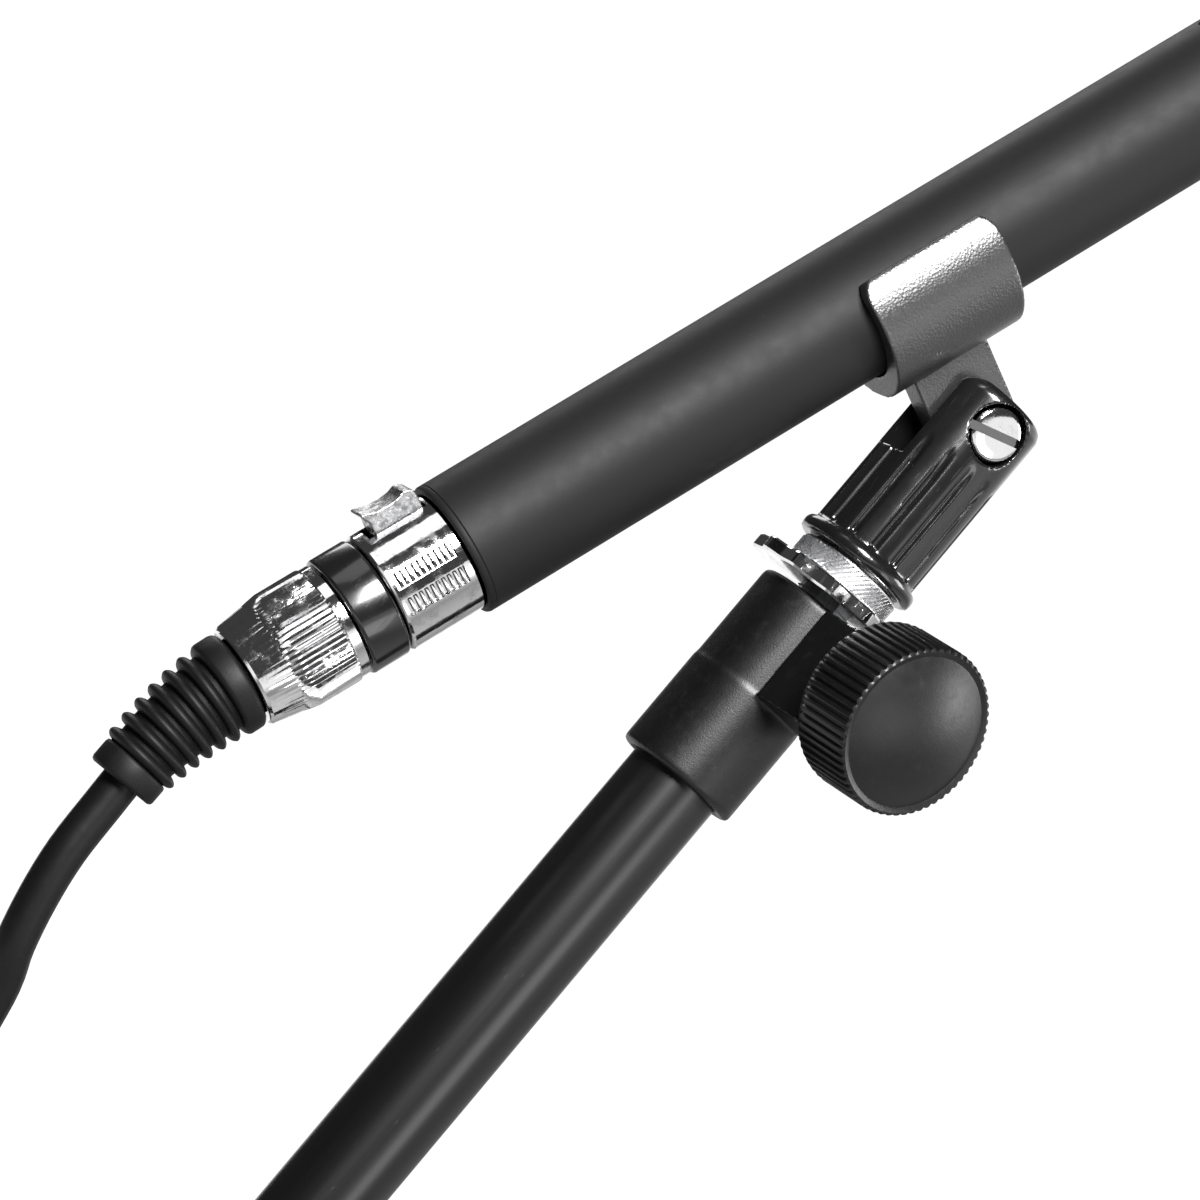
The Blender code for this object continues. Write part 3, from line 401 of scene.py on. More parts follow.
def rounded(points, radius, count=4):
    """The profile with each inner corner replaced by a short curve of about the radius."""
    done = [points[0]]
    for before, corner, after in zip(points, points[1:], points[2:]):
        a, b, c = Vector(before), Vector(corner), Vector(after)
        reach = min(radius, (a - b).length * 0.45, (c - b).length * 0.45)
        start = b + (a - b).normalized() * reach
        end = b + (c - b).normalized() * reach
        for i in range(count + 1):
            t = i / count
            done.append(tuple(start * (1 - t) ** 2 + b * 2 * t * (1 - t) + end * t**2))
    done.append(points[-1])
    return done


def arc(radius, start, end, count, centre=(0.0, 0.0)):
    """Points along an arc, angles in degrees."""
    angles = [math.radians(start + (end - start) * i / count) for i in range(count + 1)]
    return [(centre[0] + radius * math.cos(a), centre[1] + radius * math.sin(a)) for a in angles]


# Finish that each material slot has unless a piece says otherwise
SLOT_FINISH = {
    "tube": "pole_tube",
    "soft_coat": "soft_touch",
    "foam": "foam",
    "rubber": "rubber",
    "black_plastic": "moulded",
    "gloss_plastic": "gloss",
    "grey_plastic": "grained",
    "chrome": "pole_chrome",
    "steel": "steel",
    "brass": "brass",
    "white_plastic": "nylon",
    "board": "board",
    "mesh_cloth": "gauze",
    "strap": "strap",
    "cord_jacket": "jacket",
}


def finish_piece(obj, body, nodes, slot, finish=None):
    """Gives a piece its finish, its body and the frame nodes that it stands for."""
    obj.data.materials.clear()
    obj.data.materials.append(finishes()[finish or SLOT_FINISH[slot]])
    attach(obj, body)
    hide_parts(*nodes)
    return obj


# ---------------------------------------------------------------- finishes


class Value:
    """Wraps a socket, so that shader maths reads as an expression."""

    def __init__(self, sheet, socket):
        self.sheet = sheet
        self.socket = socket

    def maths(self, operation, first, second):
        made = self.sheet.node("ShaderNodeMath", {"operation": operation}, {0: first, 1: second})
        return Value(self.sheet, made.outputs[0])

    def __add__(self, other):
        return self.maths("ADD", self, other)

    def __radd__(self, other):
        return self.maths("ADD", other, self)

    def __rsub__(self, other):
        return self.maths("SUBTRACT", other, self)

    def __mul__(self, other):
        return self.maths("MULTIPLY", self, other)


class Sheet:
    """The node sheet of one finish."""

    def __init__(self, name, tint, metallic, specular, coat=0.0, coat_roughness=0.03):
        self.material = bpy.data.materials.new(name)
        self.material.use_nodes = True
        self.material.diffuse_color = (*tint, 1.0)
        self.tree = self.material.node_tree
        self.shader = self.tree.nodes["Principled BSDF"]
        self.tint = tint
        self.shader.inputs["Base Color"].default_value = (*tint, 1.0)
        self.shader.inputs["Metallic"].default_value = metallic
        self.shader.inputs["Specular IOR Level"].default_value = specular
        self.shader.inputs["Coat Weight"].default_value = coat
        self.shader.inputs["Coat Roughness"].default_value = coat_roughness
        self.bumps = None

    def node(self, kind, settings, sockets):
        """Adds a node: its settings first, then the values or links of its sockets."""
        made = self.tree.nodes.new(kind)
        for key, value in settings.items():
            setattr(made, key, value)
        for key, value in sockets.items():
            if isinstance(value, Value):
                value = value.socket
            if isinstance(value, bpy.types.NodeSocket):
                self.tree.links.new(value, made.inputs[key])
            else:
                made.inputs[key].default_value = value
        return made

    def along(self, place=None, stretch=(1, 1, 1)):
        """Object coordinates, turned to a piece's own axis and stretched."""
        source = self.node("ShaderNodeTexCoord", {}, {}).outputs["Object"]
        if place is not None:
            turned_to = {"Location": place.to_translation(), "Rotation": place.to_euler()}
            source = self.node(
                "ShaderNodeMapping", {"vector_type": "TEXTURE"}, {"Vector": source, **turned_to}
            ).outputs[0]
        if stretch != (1, 1, 1):
            source = self.node("ShaderNodeMapping", {}, {"Vector": source, "Scale": stretch}).outputs[0]
        return source

    def girth(self, place):
        """Distance from a piece's own axis, in metres."""
        made = self.node("ShaderNodeVectorMath", {"operation": "LENGTH"}, {0: self.along(place, (1, 1, 0))})
        return Value(self, made.outputs["Value"])

    def depth(self, place):
        """Distance along a piece's own axis, in metres."""
        made = self.node("ShaderNodeSeparateXYZ", {}, {0: self.along(place)})
        return Value(self, made.outputs["Z"])

    def noise(self, size, detail=3.0, coords=None, rough=0.55):
        """Noise whose grain is about size millimetres."""
        sockets = {"Vector": coords or self.along(), "Scale": 1 / (size * MM)}
        sockets.update({"Detail": detail, "Roughness": rough})
        return Value(self, self.node("ShaderNodeTexNoise", {}, sockets).outputs["Fac"])

    def cells(self, size, coords=None):
        """Cell pattern whose cells are about size millimetres."""
        sockets = {"Vector": coords or self.along(), "Scale": 1 / (size * MM)}
        made = self.node("ShaderNodeTexVoronoi", {"feature": "F1"}, sockets)
        return Value(self, made.outputs["Distance"])

    def waves(self, size, coords, direction, distortion=0.0):
        """Even bands, size millimetres apart."""
        settings = {"wave_type": "BANDS", "bands_direction": direction, "wave_profile": "SIN"}
        sockets = {"Vector": coords, "Scale": 0.314 / (size * MM), "Distortion": distortion, "Detail": 1.0}
        return Value(self, self.node("ShaderNodeTexWave", settings, sockets).outputs["Fac"])

    def ramp(self, value, low, high):
        """A mask that rises from 0 to 1 between two levels."""
        made = self.node(
            "ShaderNodeMapRange",
            {"clamp": True},
            {"Value": value, "From Min": low, "From Max": high, "To Min": 0.0, "To Max": 1.0},
        )
        return Value(self, made.outputs["Result"])

    def shades(self, *steps):
        """Base colour: each step mixes towards a colour by a mask."""
        current = (*self.tint, 1.0)
        for mask, tint in steps:
            made = self.node(
                "ShaderNodeMix",
                {"data_type": "RGBA"},
                {"Factor": mask, 6: current, 7: (*tint, 1.0)},
            )
            current = made.outputs[2]
        self.tree.links.new(current, self.shader.inputs["Base Color"])
        return self

    def roughness(self, value):
        if isinstance(value, Value):
            self.tree.links.new(value.socket, self.shader.inputs["Roughness"])
        else:
            self.shader.inputs["Roughness"].default_value = value
        return self

    def relief(self, height, depth, strength=1.0):
        """Fine relief, depth in millimetres, on top of any earlier one."""
        sockets = {"Height": height, "Distance": depth * MM, "Strength": strength}
        if self.bumps is not None:
            sockets["Normal"] = self.bumps
        made = self.node("ShaderNodeBump", {}, sockets)
        self.bumps = made.outputs["Normal"]
        self.tree.links.new(self.bumps, self.shader.inputs["Normal"])
        return self


def lighter(tint, amount):
    return tuple(min(1.0, part * amount) for part in tint)


def soft_touch(tint):
    """Matte soft-touch coat with fine pale specks and faint rub marks."""
    sheet = Sheet("soft_touch_coat", tint, 0.0, 0.22)
    specks = sheet.ramp(sheet.noise(0.28, 2.0), 0.66, 0.80)
    dust = sheet.ramp(sheet.noise(1.4, 2.0), 0.72, 0.80)
    rubs = sheet.ramp(sheet.noise(9.0, 4.0, sheet.along(MIC, (1, 1, 0.35))), 0.45, 0.75)
    sheet.shades(
        (specks * 0.5, lighter(tint, 3.6)), (dust * 0.30, lighter(tint, 5.0)), (rubs * 0.25, lighter(tint, 1.5))
    )
    sheet.roughness(0.50 + sheet.noise(2.5) * 0.14 + specks * 0.06)
    return sheet.relief(sheet.noise(0.22, 3.0), 0.020, 0.7).material


def tube_enamel(tint, place, name):
    """Satin enamel on a drawn tube, with faint lengthwise draw lines."""
    sheet = Sheet(name, tint, 0.0, 0.5, 0.25, 0.22)
    draw = sheet.noise(0.9, 3.0, sheet.along(place, (1, 1, 0.02)))
    peel = sheet.noise(0.9, 2.0)
    marks = sheet.ramp(sheet.noise(0.5, 2.0, sheet.along(place, (1, 1, 0.25))), 0.70, 0.76)
    sheet.shades((draw * 0.45, lighter(tint, 1.6)), (marks * 0.35, lighter(tint, 4.0)))
    sheet.roughness(0.27 + draw * 0.06 + marks * 0.1)
    return sheet.relief(draw, 0.004, 0.5).relief(peel, 0.004, 0.5).material


def moulded_black(tint):
    """Matte black moulding with a fine spark-eroded grain and scuffs."""
    sheet = Sheet("moulded_black", tint, 0.0, 0.42)
    grain = sheet.noise(0.30, 4.0)
    scuffs = sheet.ramp(sheet.noise(2.2, 5.0), 0.56, 0.72)
    dust = sheet.ramp(sheet.noise(0.35, 1.0), 0.73, 0.80)
    sheet.shades((scuffs * 0.40, lighter(tint, 2.1)), (dust * 0.45, lighter(tint, 7.0)))
    sheet.roughness(0.32 + sheet.noise(1.5) * 0.12 + scuffs * 0.08)
    return sheet.relief(grain, 0.030, 0.75).material


def gloss_black(tint):
    """Glossy black moulding with faint flow marks and hair scratches."""
    sheet = Sheet("gloss_black", tint, 0.0, 0.5, 0.4, 0.06)
    peel = sheet.noise(1.6, 2.0)
    hairs = sheet.ramp(sheet.noise(0.5, 4.0, sheet.along(POLE, (1, 1, 0.08))), 0.62, 0.70)
    sheet.shades((hairs * 0.35, lighter(tint, 3.0)))
    sheet.roughness(0.15 + sheet.noise(3.0) * 0.10 + hairs * 0.12)
    return sheet.relief(peel, 0.008, 0.5).material


def grained_grey(tint):
    """Satin grey-black moulding with a pebbled grain."""
    sheet = Sheet("grained_grey", tint, 0.0, 1.0)
    pebbles = sheet.cells(0.42)
    fine = sheet.noise(0.20, 2.0)
    tone = sheet.noise(5.0, 3.0)
    flecks = sheet.ramp(fine, 0.66, 0.78)
    sheet.shades((tone * 0.5, lighter(tint, 0.75)), (flecks * 0.4, lighter(tint, 2.4)))
    sheet.roughness(0.29 + sheet.noise(1.1) * 0.10)
    return sheet.relief(pebbles, 0.045, 0.8).relief(fine, 0.015, 0.6).material


def rubber(tint):
    """Black rubber with a dry bloom."""
    sheet = Sheet("rubber", tint, 0.0, 0.22)
    bloom = sheet.ramp(sheet.noise(3.0, 4.0), 0.50, 0.72)
    dust = sheet.ramp(sheet.noise(0.30, 1.0), 0.72, 0.80)
    sheet.shades((bloom * 0.45, lighter(tint, 2.0)), (dust * 0.4, lighter(tint, 6.0)))
    sheet.roughness(0.46 + sheet.noise(1.0) * 0.14)
    return sheet.relief(sheet.noise(0.35, 3.0), 0.025, 0.6).material


def foam(tint):
    """Closed-cell foam grip."""
    sheet = Sheet("foam_grip_cells", tint, 0.0, 0.25)
    cells = sheet.cells(0.9)
    pores = sheet.ramp(sheet.cells(0.55), 0.05, 0.35)
    worn = sheet.ramp(sheet.noise(14.0, 3.0), 0.45, 0.7)
    sheet.shades((pores * 0.6, lighter(tint, 2.2)), (worn * 0.35, lighter(tint, 1.8)))
    sheet.roughness(0.88)
    return sheet.relief(cells, 0.22, 0.8).relief(sheet.noise(0.25, 3.0), 0.05, 0.6).material


def chrome(tint, place, name, worn=1.0, rough=0.07, hollow=None):
    """Bright plating over a casting: hair scratches, small pits and dull patches; where hollow is given,
    painted shade darkens the sunk parts.
    """
    sheet = Sheet(name, tint, 1.0, 0.5)
    pits = sheet.ramp(sheet.noise(0.34, 3.0), 0.60, 0.70)
    patches = sheet.ramp(sheet.noise(2.6, 5.0, rough=0.7), 0.50, 0.62)
    hairs = sheet.ramp(sheet.noise(0.20, 2.0, sheet.along(place, (1, 1, 0.10))), 0.60, 0.70)
    dull = lighter(tint, 0.40)
    steps = [(patches * pits * 0.85 * worn, lighter(tint, 0.12)), (patches * 0.35 * worn, dull)]
    # Painted shade: below the given level the plating is darkened, as a shadow in the hollow would darken it.
    if hollow:
        measure, start, end = hollow
        sunk = sheet.ramp(measure(sheet, place), start * MM, end * MM)
        steps.append((sunk * 0.85, lighter(tint, 0.10)))
    sheet.shades(*steps)
    sheet.roughness(rough + patches * 0.12 * worn + hairs * 0.06 + pits * 0.05)
    sheet.relief(sheet.noise(1.3, 2.0), 0.020 * worn, 0.7)
    return sheet.relief(patches * pits, 0.020, 0.4).material


def cast_plating(tint):
    """Thin plating on a rough die casting, dark in its hollows."""
    sheet = Sheet("cast_plating", tint, 1.0, 0.5)
    lumps = sheet.noise(0.42, 4.0)
    grime = sheet.ramp(sheet.noise(1.1, 4.0), 0.42, 0.60)
    peaks = sheet.ramp(lumps, 0.60, 0.68)
    sheet.shades((grime * 0.75, lighter(tint, 0.18)), (peaks * 0.7, lighter(tint, 1.9)))
    sheet.roughness(0.24 + grime * 0.24)
    return sheet.relief(lumps, 0.12, 0.9).material


def turned_metal(name, tint, place, rough):
    """Machined metal with fine turning lines."""
    sheet = Sheet(name, tint, 1.0, 0.5)
    lines = sheet.waves(0.22, sheet.along(place), "Z", 0.6)
    stain = sheet.ramp(sheet.noise(1.8, 4.0), 0.5, 0.7)
    sheet.shades((stain * 0.35, lighter(tint, 0.55)))
    sheet.roughness(rough + stain * 0.15 + lines * 0.05)
    return sheet.relief(lines, 0.006, 0.6).material


def nylon(tint):
    """Natural moulded nylon with faint flow marks."""
    sheet = Sheet("nylon", tint, 0.0, 0.45)
    flow = sheet.noise(4.0, 3.0, sheet.along(POLE, (1, 1, 0.3)))
    sheet.shades((flow * 0.5, lighter(tint, 0.86)))
    sheet.roughness(0.36 + sheet.noise(1.0) * 0.12)
    return sheet.relief(sheet.noise(0.4, 3.0), 0.012, 0.6).material


def circuit(tint):
    """Solder mask with copper tracks and pads."""
    sheet = Sheet("solder_mask", tint, 0.0, 0.5)
    coords = sheet.along(MIC)
    tracks = sheet.ramp(sheet.waves(2.1, coords, "Y", 3.0), 0.82, 0.9)
    pads = 1 - sheet.ramp(sheet.cells(3.2, coords), 0.10, 0.16)
    sheet.shades((tracks * 0.55, (0.05, 0.26, 0.10)), (pads, (0.62, 0.55, 0.40)))
    sheet.roughness(0.32 + pads * 0.1)
    return sheet.relief(tracks + pads, 0.03, 0.6).material


def gauze(tint):
    """Fine woven gauze behind the sound slots."""
    sheet = Sheet("gauze", tint, 0.6, 0.5)
    coords = sheet.along(MIC)
    weave = sheet.waves(0.35, coords, "Z") * sheet.waves(0.35, coords, "DIAGONAL")
    sheet.shades((sheet.ramp(weave, 0.2, 0.6), lighter(tint, 4.0)))
    sheet.roughness(0.5)
    return sheet.relief(weave, 0.05, 0.8).material


def strap_weave(tint):
    """Woven strap with a looped face."""
    sheet = Sheet("strap_weave", tint, 0.0, 0.25)
    coords = sheet.along()
    weave = sheet.waves(0.55, coords, "X") + sheet.waves(0.55, coords, "Z")
    loops = sheet.noise(0.22, 3.0)
    sheet.shades((sheet.ramp(loops, 0.5, 0.8) * 0.6, lighter(tint, 3.0)))
    sheet.roughness(0.85)
    return sheet.relief(weave * 0.5, 0.12, 0.7).relief(loops, 0.10, 0.7).material


def cord_jacket(tint):
    """Satin cable jacket with faint waviness and handling marks."""
    sheet = Sheet("cord_jacket", tint, 0.0, 0.26)
    ripple = sheet.noise(3.0, 2.0)
    marks = sheet.ramp(sheet.noise(0.8, 3.0), 0.62, 0.72)
    sheet.shades((marks * 0.30, lighter(tint, 2.6)))
    sheet.roughness(0.38 + sheet.noise(1.6) * 0.12)
    return sheet.relief(ripple, 0.05, 0.5).relief(sheet.noise(0.3, 2.0), 0.010, 0.5).material


FINISHES = {}


def finishes():
    """All finishes, made once from the colours in the settings."""
    if FINISHES:
        return FINISHES
    tints = bpy.context.scene.boom_colours
    silver = tuple(tints.chrome)
    FINISHES.update(
        soft_touch=soft_touch(tuple(tints.soft_touch)),
        pole_tube=tube_enamel(tuple(tints.tube), GRIP, "pole_enamel"),
        nose=tube_enamel(lighter(tuple(tints.tube), 1.6), MIC, "nose_enamel"),
        moulded=moulded_black(tuple(tints.moulded)),
        gloss=gloss_black(tuple(tints.gloss)),
        grained=grained_grey(tuple(tints.grained)),
        rubber=rubber(tuple(tints.rubber)),
        foam=foam(tuple(tints.foam)),
        plug_chrome=chrome(silver, PLUG, "plug_chrome"),
        # Painted shade darkens the sunk ridge panels and the latch pocket, everything within 9.7 mm of the
        # plug's axis.
        shell_chrome=chrome(silver, PLUG, "shell_chrome", hollow=(Sheet.girth, 9.7, 9.35)),
        knurl_chrome=chrome(silver, POLE, "knurl_chrome", 0.4, 0.26),
        pole_chrome=chrome(silver, POLE, "pole_chrome", 0.7),
        # Painted shade darkens the drive slot and the screw from 0.4 mm behind its face onwards.
        screw_chrome=chrome(silver, PIVOT, "screw_chrome", 0.5, hollow=(Sheet.depth, -8.4, -8.1)),
        latch_cast=cast_plating(lighter(silver, 0.55)),
        steel=turned_metal("zinc_steel", (0.52, 0.53, 0.55), POLE, 0.28),
        brass=turned_metal("turned_brass", (0.70, 0.50, 0.22), MIC, 0.24),
        nylon=nylon((0.70, 0.69, 0.65)),
        board=circuit((0.02, 0.13, 0.05)),
        gauze=gauze((0.035, 0.035, 0.035)),
        strap=strap_weave((0.012, 0.012, 0.013)),
        jacket=cord_jacket(tuple(tints.jacket)),
    )
    return FINISHES


# ---------------------------------------------------------------- stage and cord

CAMERA_TARGET = Vector((0.25269, 0.0, 0.30228))
CAMERA_DISTANCE = 0.774
CAMERA_AZIMUTH = -23.0
CAMERA_ELEVATION = 13.725
CAMERA_LENS = 150.0
CAMERA_SENSOR = 36.0
FLOOR_HEIGHT = -0.95
# The floor is dark below the object and glows white from here outwards, in metres
GLOW_START = 1.8
GLOW_END = 2.9
GLOW_STRENGTH = 1.02
WORLD_STRENGTH = 0.05
# Name, azimuth, elevation, distance in metres, size in metres and power in watts
LIGHTS = (
    ("key", 4.0, 38.0, 1.3, 0.46, 50.0),
    ("side", 68.0, -11.0, 1.3, 0.46, 6.0),
    ("front", 17.0, -19.0, 1.3, 0.42, 1.5),
    ("top", -60.0, 78.0, 1.5, 0.70, 2.2),
    ("back", 165.0, 35.0, 1.6, 0.80, 8.0),
)


def direction(azimuth, elevation):
    """From the object towards a camera or light at those angles, azimuth 0 being in front."""
    a, e = math.radians(azimuth), math.radians(elevation)
    return Vector((math.sin(a) * math.cos(e), -math.cos(a) * math.cos(e), math.sin(e)))


class BOOM_OT_stage(bpy.types.Operator):
    """Camera, soft lights and the plain pale floor."""

    bl_idname = "boom.stage"
    bl_label = "Stage"

    def execute(self, context):
        self.add_camera(context)
        self.add_floor()
        self.add_lights(context)
        return {"FINISHED"}

    def add_camera(self, context):
        data = bpy.data.cameras.new("camera")
        data.lens = CAMERA_LENS
        data.sensor_width = CAMERA_SENSOR
        data.clip_start = 0.05
        data.clip_end = 200.0
        camera = bpy.data.objects.new("camera", data)
        context.scene.collection.objects.link(camera)
        back = direction(CAMERA_AZIMUTH, CAMERA_ELEVATION)
        camera.location = CAMERA_TARGET + back * CAMERA_DISTANCE
        camera.rotation_euler = (-back).to_track_quat("-Z", "Y").to_euler()
        context.scene.camera = camera

    def add_floor(self):
        clear_selection()
        bpy.ops.mesh.primitive_plane_add(size=60, location=(0, 0, FLOOR_HEIGHT))
        floor = bpy.context.active_object
        floor.name = "floor"
        bpy.ops.object.transform_apply(location=True, rotation=True, scale=True)
        sheet = Sheet("floor_paper", (0.62, 0.62, 0.62), 0.0, 0.0)
        sheet.roughness(0.95)
        glow = sheet.ramp(sheet.girth(Matrix()), GLOW_START, GLOW_END)
        ends = {6: (0.02, 0.02, 0.02, 1), 7: (1, 1, 1, 1)}
        made = sheet.node("ShaderNodeMix", {"data_type": "RGBA"}, {"Factor": glow, **ends})
        sheet.tree.links.new(made.outputs[2], sheet.shader.inputs["Emission Color"])
        sheet.shader.inputs["Emission Strength"].default_value = GLOW_STRENGTH
        floor.data.materials.append(sheet.material)

    def add_lights(self, context):
        world = bpy.data.worlds.new("studio")
        context.scene.world = world
        world.use_nodes = True
        background = world.node_tree.nodes["Background"]
        background.inputs["Color"].default_value = (1, 1, 1, 1)
        background.inputs["Strength"].default_value = WORLD_STRENGTH
        for name, azimuth, elevation, reach, size, power in LIGHTS:
            data = bpy.data.lights.new(name, "AREA")
            data.shape = "SQUARE"
            data.size = size
            data.energy = power
            light = bpy.data.objects.new(name, data)
            context.scene.collection.objects.link(light)
            back = direction(azimuth, elevation)
            light.location = CAMERA_TARGET + back * reach
            light.rotation_euler = (-back).to_track_quat("-Z", "Y").to_euler()
        context.scene.view_settings.view_transform = "Standard"


GAP = 0.3
PLUG_SHELL = 13.3
PLUG_RING = 6.7
PLUG_NUT = 17.2
BOOT_LENGTH = 24.0
BOOT_BEND = 21.0
BOOT_COLLAR = 4.0
BOOT_RIBS = 6
BOOT_START = PLUG_SHELL + PLUG_RING + PLUG_NUT + 3 * GAP
COIL_CENTRE = SLEEVE_FOOT + Vector((-79.0, 29.5, -228.0)) * MM
COIL_TURNS = 11
TAIL_LENGTH = 44.0
TAIL_DROP = 24.36


def boot_point(travel):
    """Distance behind and below the rim of a point of the boot's bent centre line, in millimetres."""
    radius = BOOT_LENGTH / math.radians(BOOT_BEND)
    angle = travel / radius
    return BOOT_START + radius * math.sin(angle), radius * (1 - math.cos(angle))


def behind_mic(back, below, aside=0.0):
    """Point behind, below and beyond the rear rim of the microphone."""
    return MIC_RIM + (MIC_DOWN * below - MIC_AXIS * back + WORLD_Y * aside) * MM


def lead_points():
    """Route of the cable from inside its boot to the coil's first turn."""
    points = [behind_mic(*boot_point(travel)) for travel in (BOOT_LENGTH - 2, BOOT_LENGTH + 4)]
    for back, below, aside in ((73.5, 9.3, 0.0), (80.5, 13.4, 0.3), (86.8, 18.2, 1.0), (91.5, 23.2, 2.4)):
        points.append(behind_mic(back, below, aside))
    for x, y, z in (
        (-115.5, 5.2, -33),
        (-118.8, 9.6, -50),
        (-121.0, 13.6, -70),
        (-121.6, 17.4, -92),
        (-121.3, 19.2, -116),
        (-120.6, 19.9, -140),
        (-120.2, 19.975, -164),
        (-120.5, 19.975, -180),
        (-121.4, 19.975, -196),
        (-122.8, 19.975, -213),
    ):
        points.append(SLEEVE_FOOT + Vector((x, y, z)) * MM)
    return points


def eased(value, start, end):
    """0 before start, 1 after end and smooth between."""
    t = min(1.0, max(0.0, (value - start) / (end - start)))
    return t * t * (3 - 2 * t)


def coil_points(cord_radius, per_turn=36):
    """Eleven turns in four layers of three, wound inwards and outwards in turn."""
    pitch = 2 * cord_radius
    middle = 6 * pitch
    steps = ((0, (1, 0, -1)), (1, (-1, 0, 1)), (2, (1, 0, -1)), (3, (-1, 0, 1)))
    turns = [(layer, middle + step * pitch) for layer, row in steps for step in row]
    points = []
    for i in range(COIL_TURNS * per_turn + 1):
        angle = 360.0 * i / per_turn
        index = min(COIL_TURNS - 1, int(angle // 360))
        within = angle - 360 * index
        layer, radius = (3 if index > 8 else index // 3), turns[index][1]
        if index < 9:
            next_layer, next_radius = turns[index + 1]
            radius += (next_radius - radius) * eased(within, 270, 330)
            layer += (next_layer - layer) * eased(within, 330, 380)
        if index == 9:
            radius = middle - pitch + pitch * (eased(within, 20, 80) + eased(within, 270, 330))
        if index == 10:
            radius = middle + pitch
        if index in (3, 6, 9):
            layer -= 1 - eased(within + 360, 330, 380)
        turn = math.radians(180 + angle)
        place = Vector((radius * math.cos(turn), (layer - 1.5) * pitch, radius * math.sin(turn)))
        points.append(COIL_CENTRE + place)
    return points


class BOOM_OT_cord(bpy.types.Operator):
    """Cable from its boot to the plug at its far end, with its coil."""

    bl_idname = "boom.cord"
    bl_label = "Cable"

    def execute(self, context):
        radius = context.scene.boom_mic.cord
        path = smooth_path(lead_points() + coil_points(radius)[:1], 2 * MM)
        path += coil_points(radius)[1:]
        last = path[-1]
        path += [last - Vector((0, 0, z)) * MM for z in (12, 24, 36, 48, 60, TAIL_DROP + TAIL_LENGTH + 1)]
        cord = line_curve("cord", path, radius / MM, 4)
        finish_piece(cord, "plug", ["cord_lead", "cord_coil", "cord_tail"], "cord_jacket")
        return {"FINISHED"}


class BOOM_OT_tie(bpy.types.Operator):
    """Hook-and-loop strap round the top of the coil."""

    bl_idname = "boom.tie"
    bl_label = "Cable tie"

    def execute(self, context):
        cord_radius = context.scene.boom_mic.cord / MM
        low = 9 * cord_radius - 1.6
        high = 15 * cord_radius + 0.5
        wide = 4 * cord_radius + 0.4
        middle = (low + high) / 2
        half = (high - low) / 2
        place = placed(COIL_CENTRE, Vector((1, 0, 0)), WORLD_Y)
        loops = []
        for grow in (1.3, 0.0):
            across, tall = wide + grow, half + grow
            loops.append(bar("strap", (-across, -tall, -8), (across, tall, 8), Matrix()))
        outer, inner = loops
        pick(inner)
        bpy.ops.object.mode_set(mode="EDIT")
        bpy.ops.mesh.select_all(action="SELECT")
        bpy.ops.transform.resize(value=(1, 1, 1.5))
        bpy.ops.object.mode_set(mode="OBJECT")
        for block, edge in ((outer, 3.2), (inner, 2.0)):
            round_edges(block, edge, lambda run: abs(run.z) > 0.9)
        strap = combine(outer, [inner], "DIFFERENCE")
        corners = (wide + 1.2, -half - 0.2, -8), (wide + 2.3, half - 4, 8)
        flap = bar("strap_flap", *corners, Matrix(), 0.45)
        strap = joined("cord_tie_strap", [strap, flap])
        settle(strap, place @ Matrix.Translation((0, -middle * MM, 0)))
        close_up(strap, 40)
        finish_piece(strap, "plug", ["cord_tie"], "strap")
        return {"FINISHED"}


def round_edges(obj, radius, test, segments=5):
    """Bevels the edges whose direction passes a test."""
    pick(obj)
    bpy.ops.object.mode_set(mode="EDIT")
    bpy.ops.mesh.select_mode(type="EDGE")
    mesh = bmesh.from_edit_mesh(obj.data)
    for edge in mesh.edges:
        edge.select = test((edge.verts[0].co - edge.verts[1].co).normalized())
    bmesh.update_edit_mesh(obj.data)
    bpy.ops.mesh.bevel(offset=radius * MM, segments=segments, profile=0.5, affect="EDGES")
    bpy.ops.mesh.select_mode(type="VERT")
    bpy.ops.object.mode_set(mode="OBJECT")
    return obj


def tail_frame():
    """Frame at the top of the straight tail, Z downwards."""
    top = COIL_CENTRE + Vector((-44.45, 9.525, -TAIL_DROP)) * MM
    return placed(top, Vector((0, 0, -1)), Vector((1, 0, 0)))


class BOOM_OT_end_plug(bpy.types.Operator):
    """Boot and shell of the plug on the far end of the cable."""

    bl_idname = "boom.end_plug"
    bl_label = "Far plug"

    def execute(self, context):
        place = tail_frame()
        start = TAIL_LENGTH + GAP
        end = start + 18
        boot = [(0, end), (7.6, end), (7.2, end - 4)]
        for i in range(4):
            low = end - 5.0 - 3.0 * i
            radius = 7.0 - 0.45 * i
            boot += [(radius - 0.7, low), (radius - 0.7, low - 1.0), (radius - 0.1, low - 1.5)]
            boot += [(radius - 0.2, low - 2.4)]
        boot += [(5.2, start + 0.4), (4.8, start), (0, start)]
        piece = turned("end_boot_ribbed", rounded(boot, 0.35, 2), place, 64)
        finish_piece(piece, "plug", ["end_boot"], "rubber")
        low = end + GAP
        high = low + 44
        bore = 8.3
        shell = [(0, low + 14), (bore, low + 14), (bore, high), (9.2, high), (9.5, high - 0.4)]
        shell += [(9.5, high - 6)]
        shell += [(9.25, high - 6.3), (9.25, high - 7.1), (9.5, high - 7.4), (9.5, low + 18)]
        shell += [(9.2, low + 17.6)]
        shell += [(9.2, low + 16.6), (9.5, low + 16.2), (9.5, low + 12), (8.2, low + 0.4)]
        shell += [(7.8, low), (0, low)]
        piece = turned("end_shell_turned", rounded(shell, 0.25, 2), place, 96)
        finish_piece(piece, "plug", ["end_shell"], "chrome", "plug_chrome")
        return {"FINISHED"}


# ---------------------------------------------------------------- pole


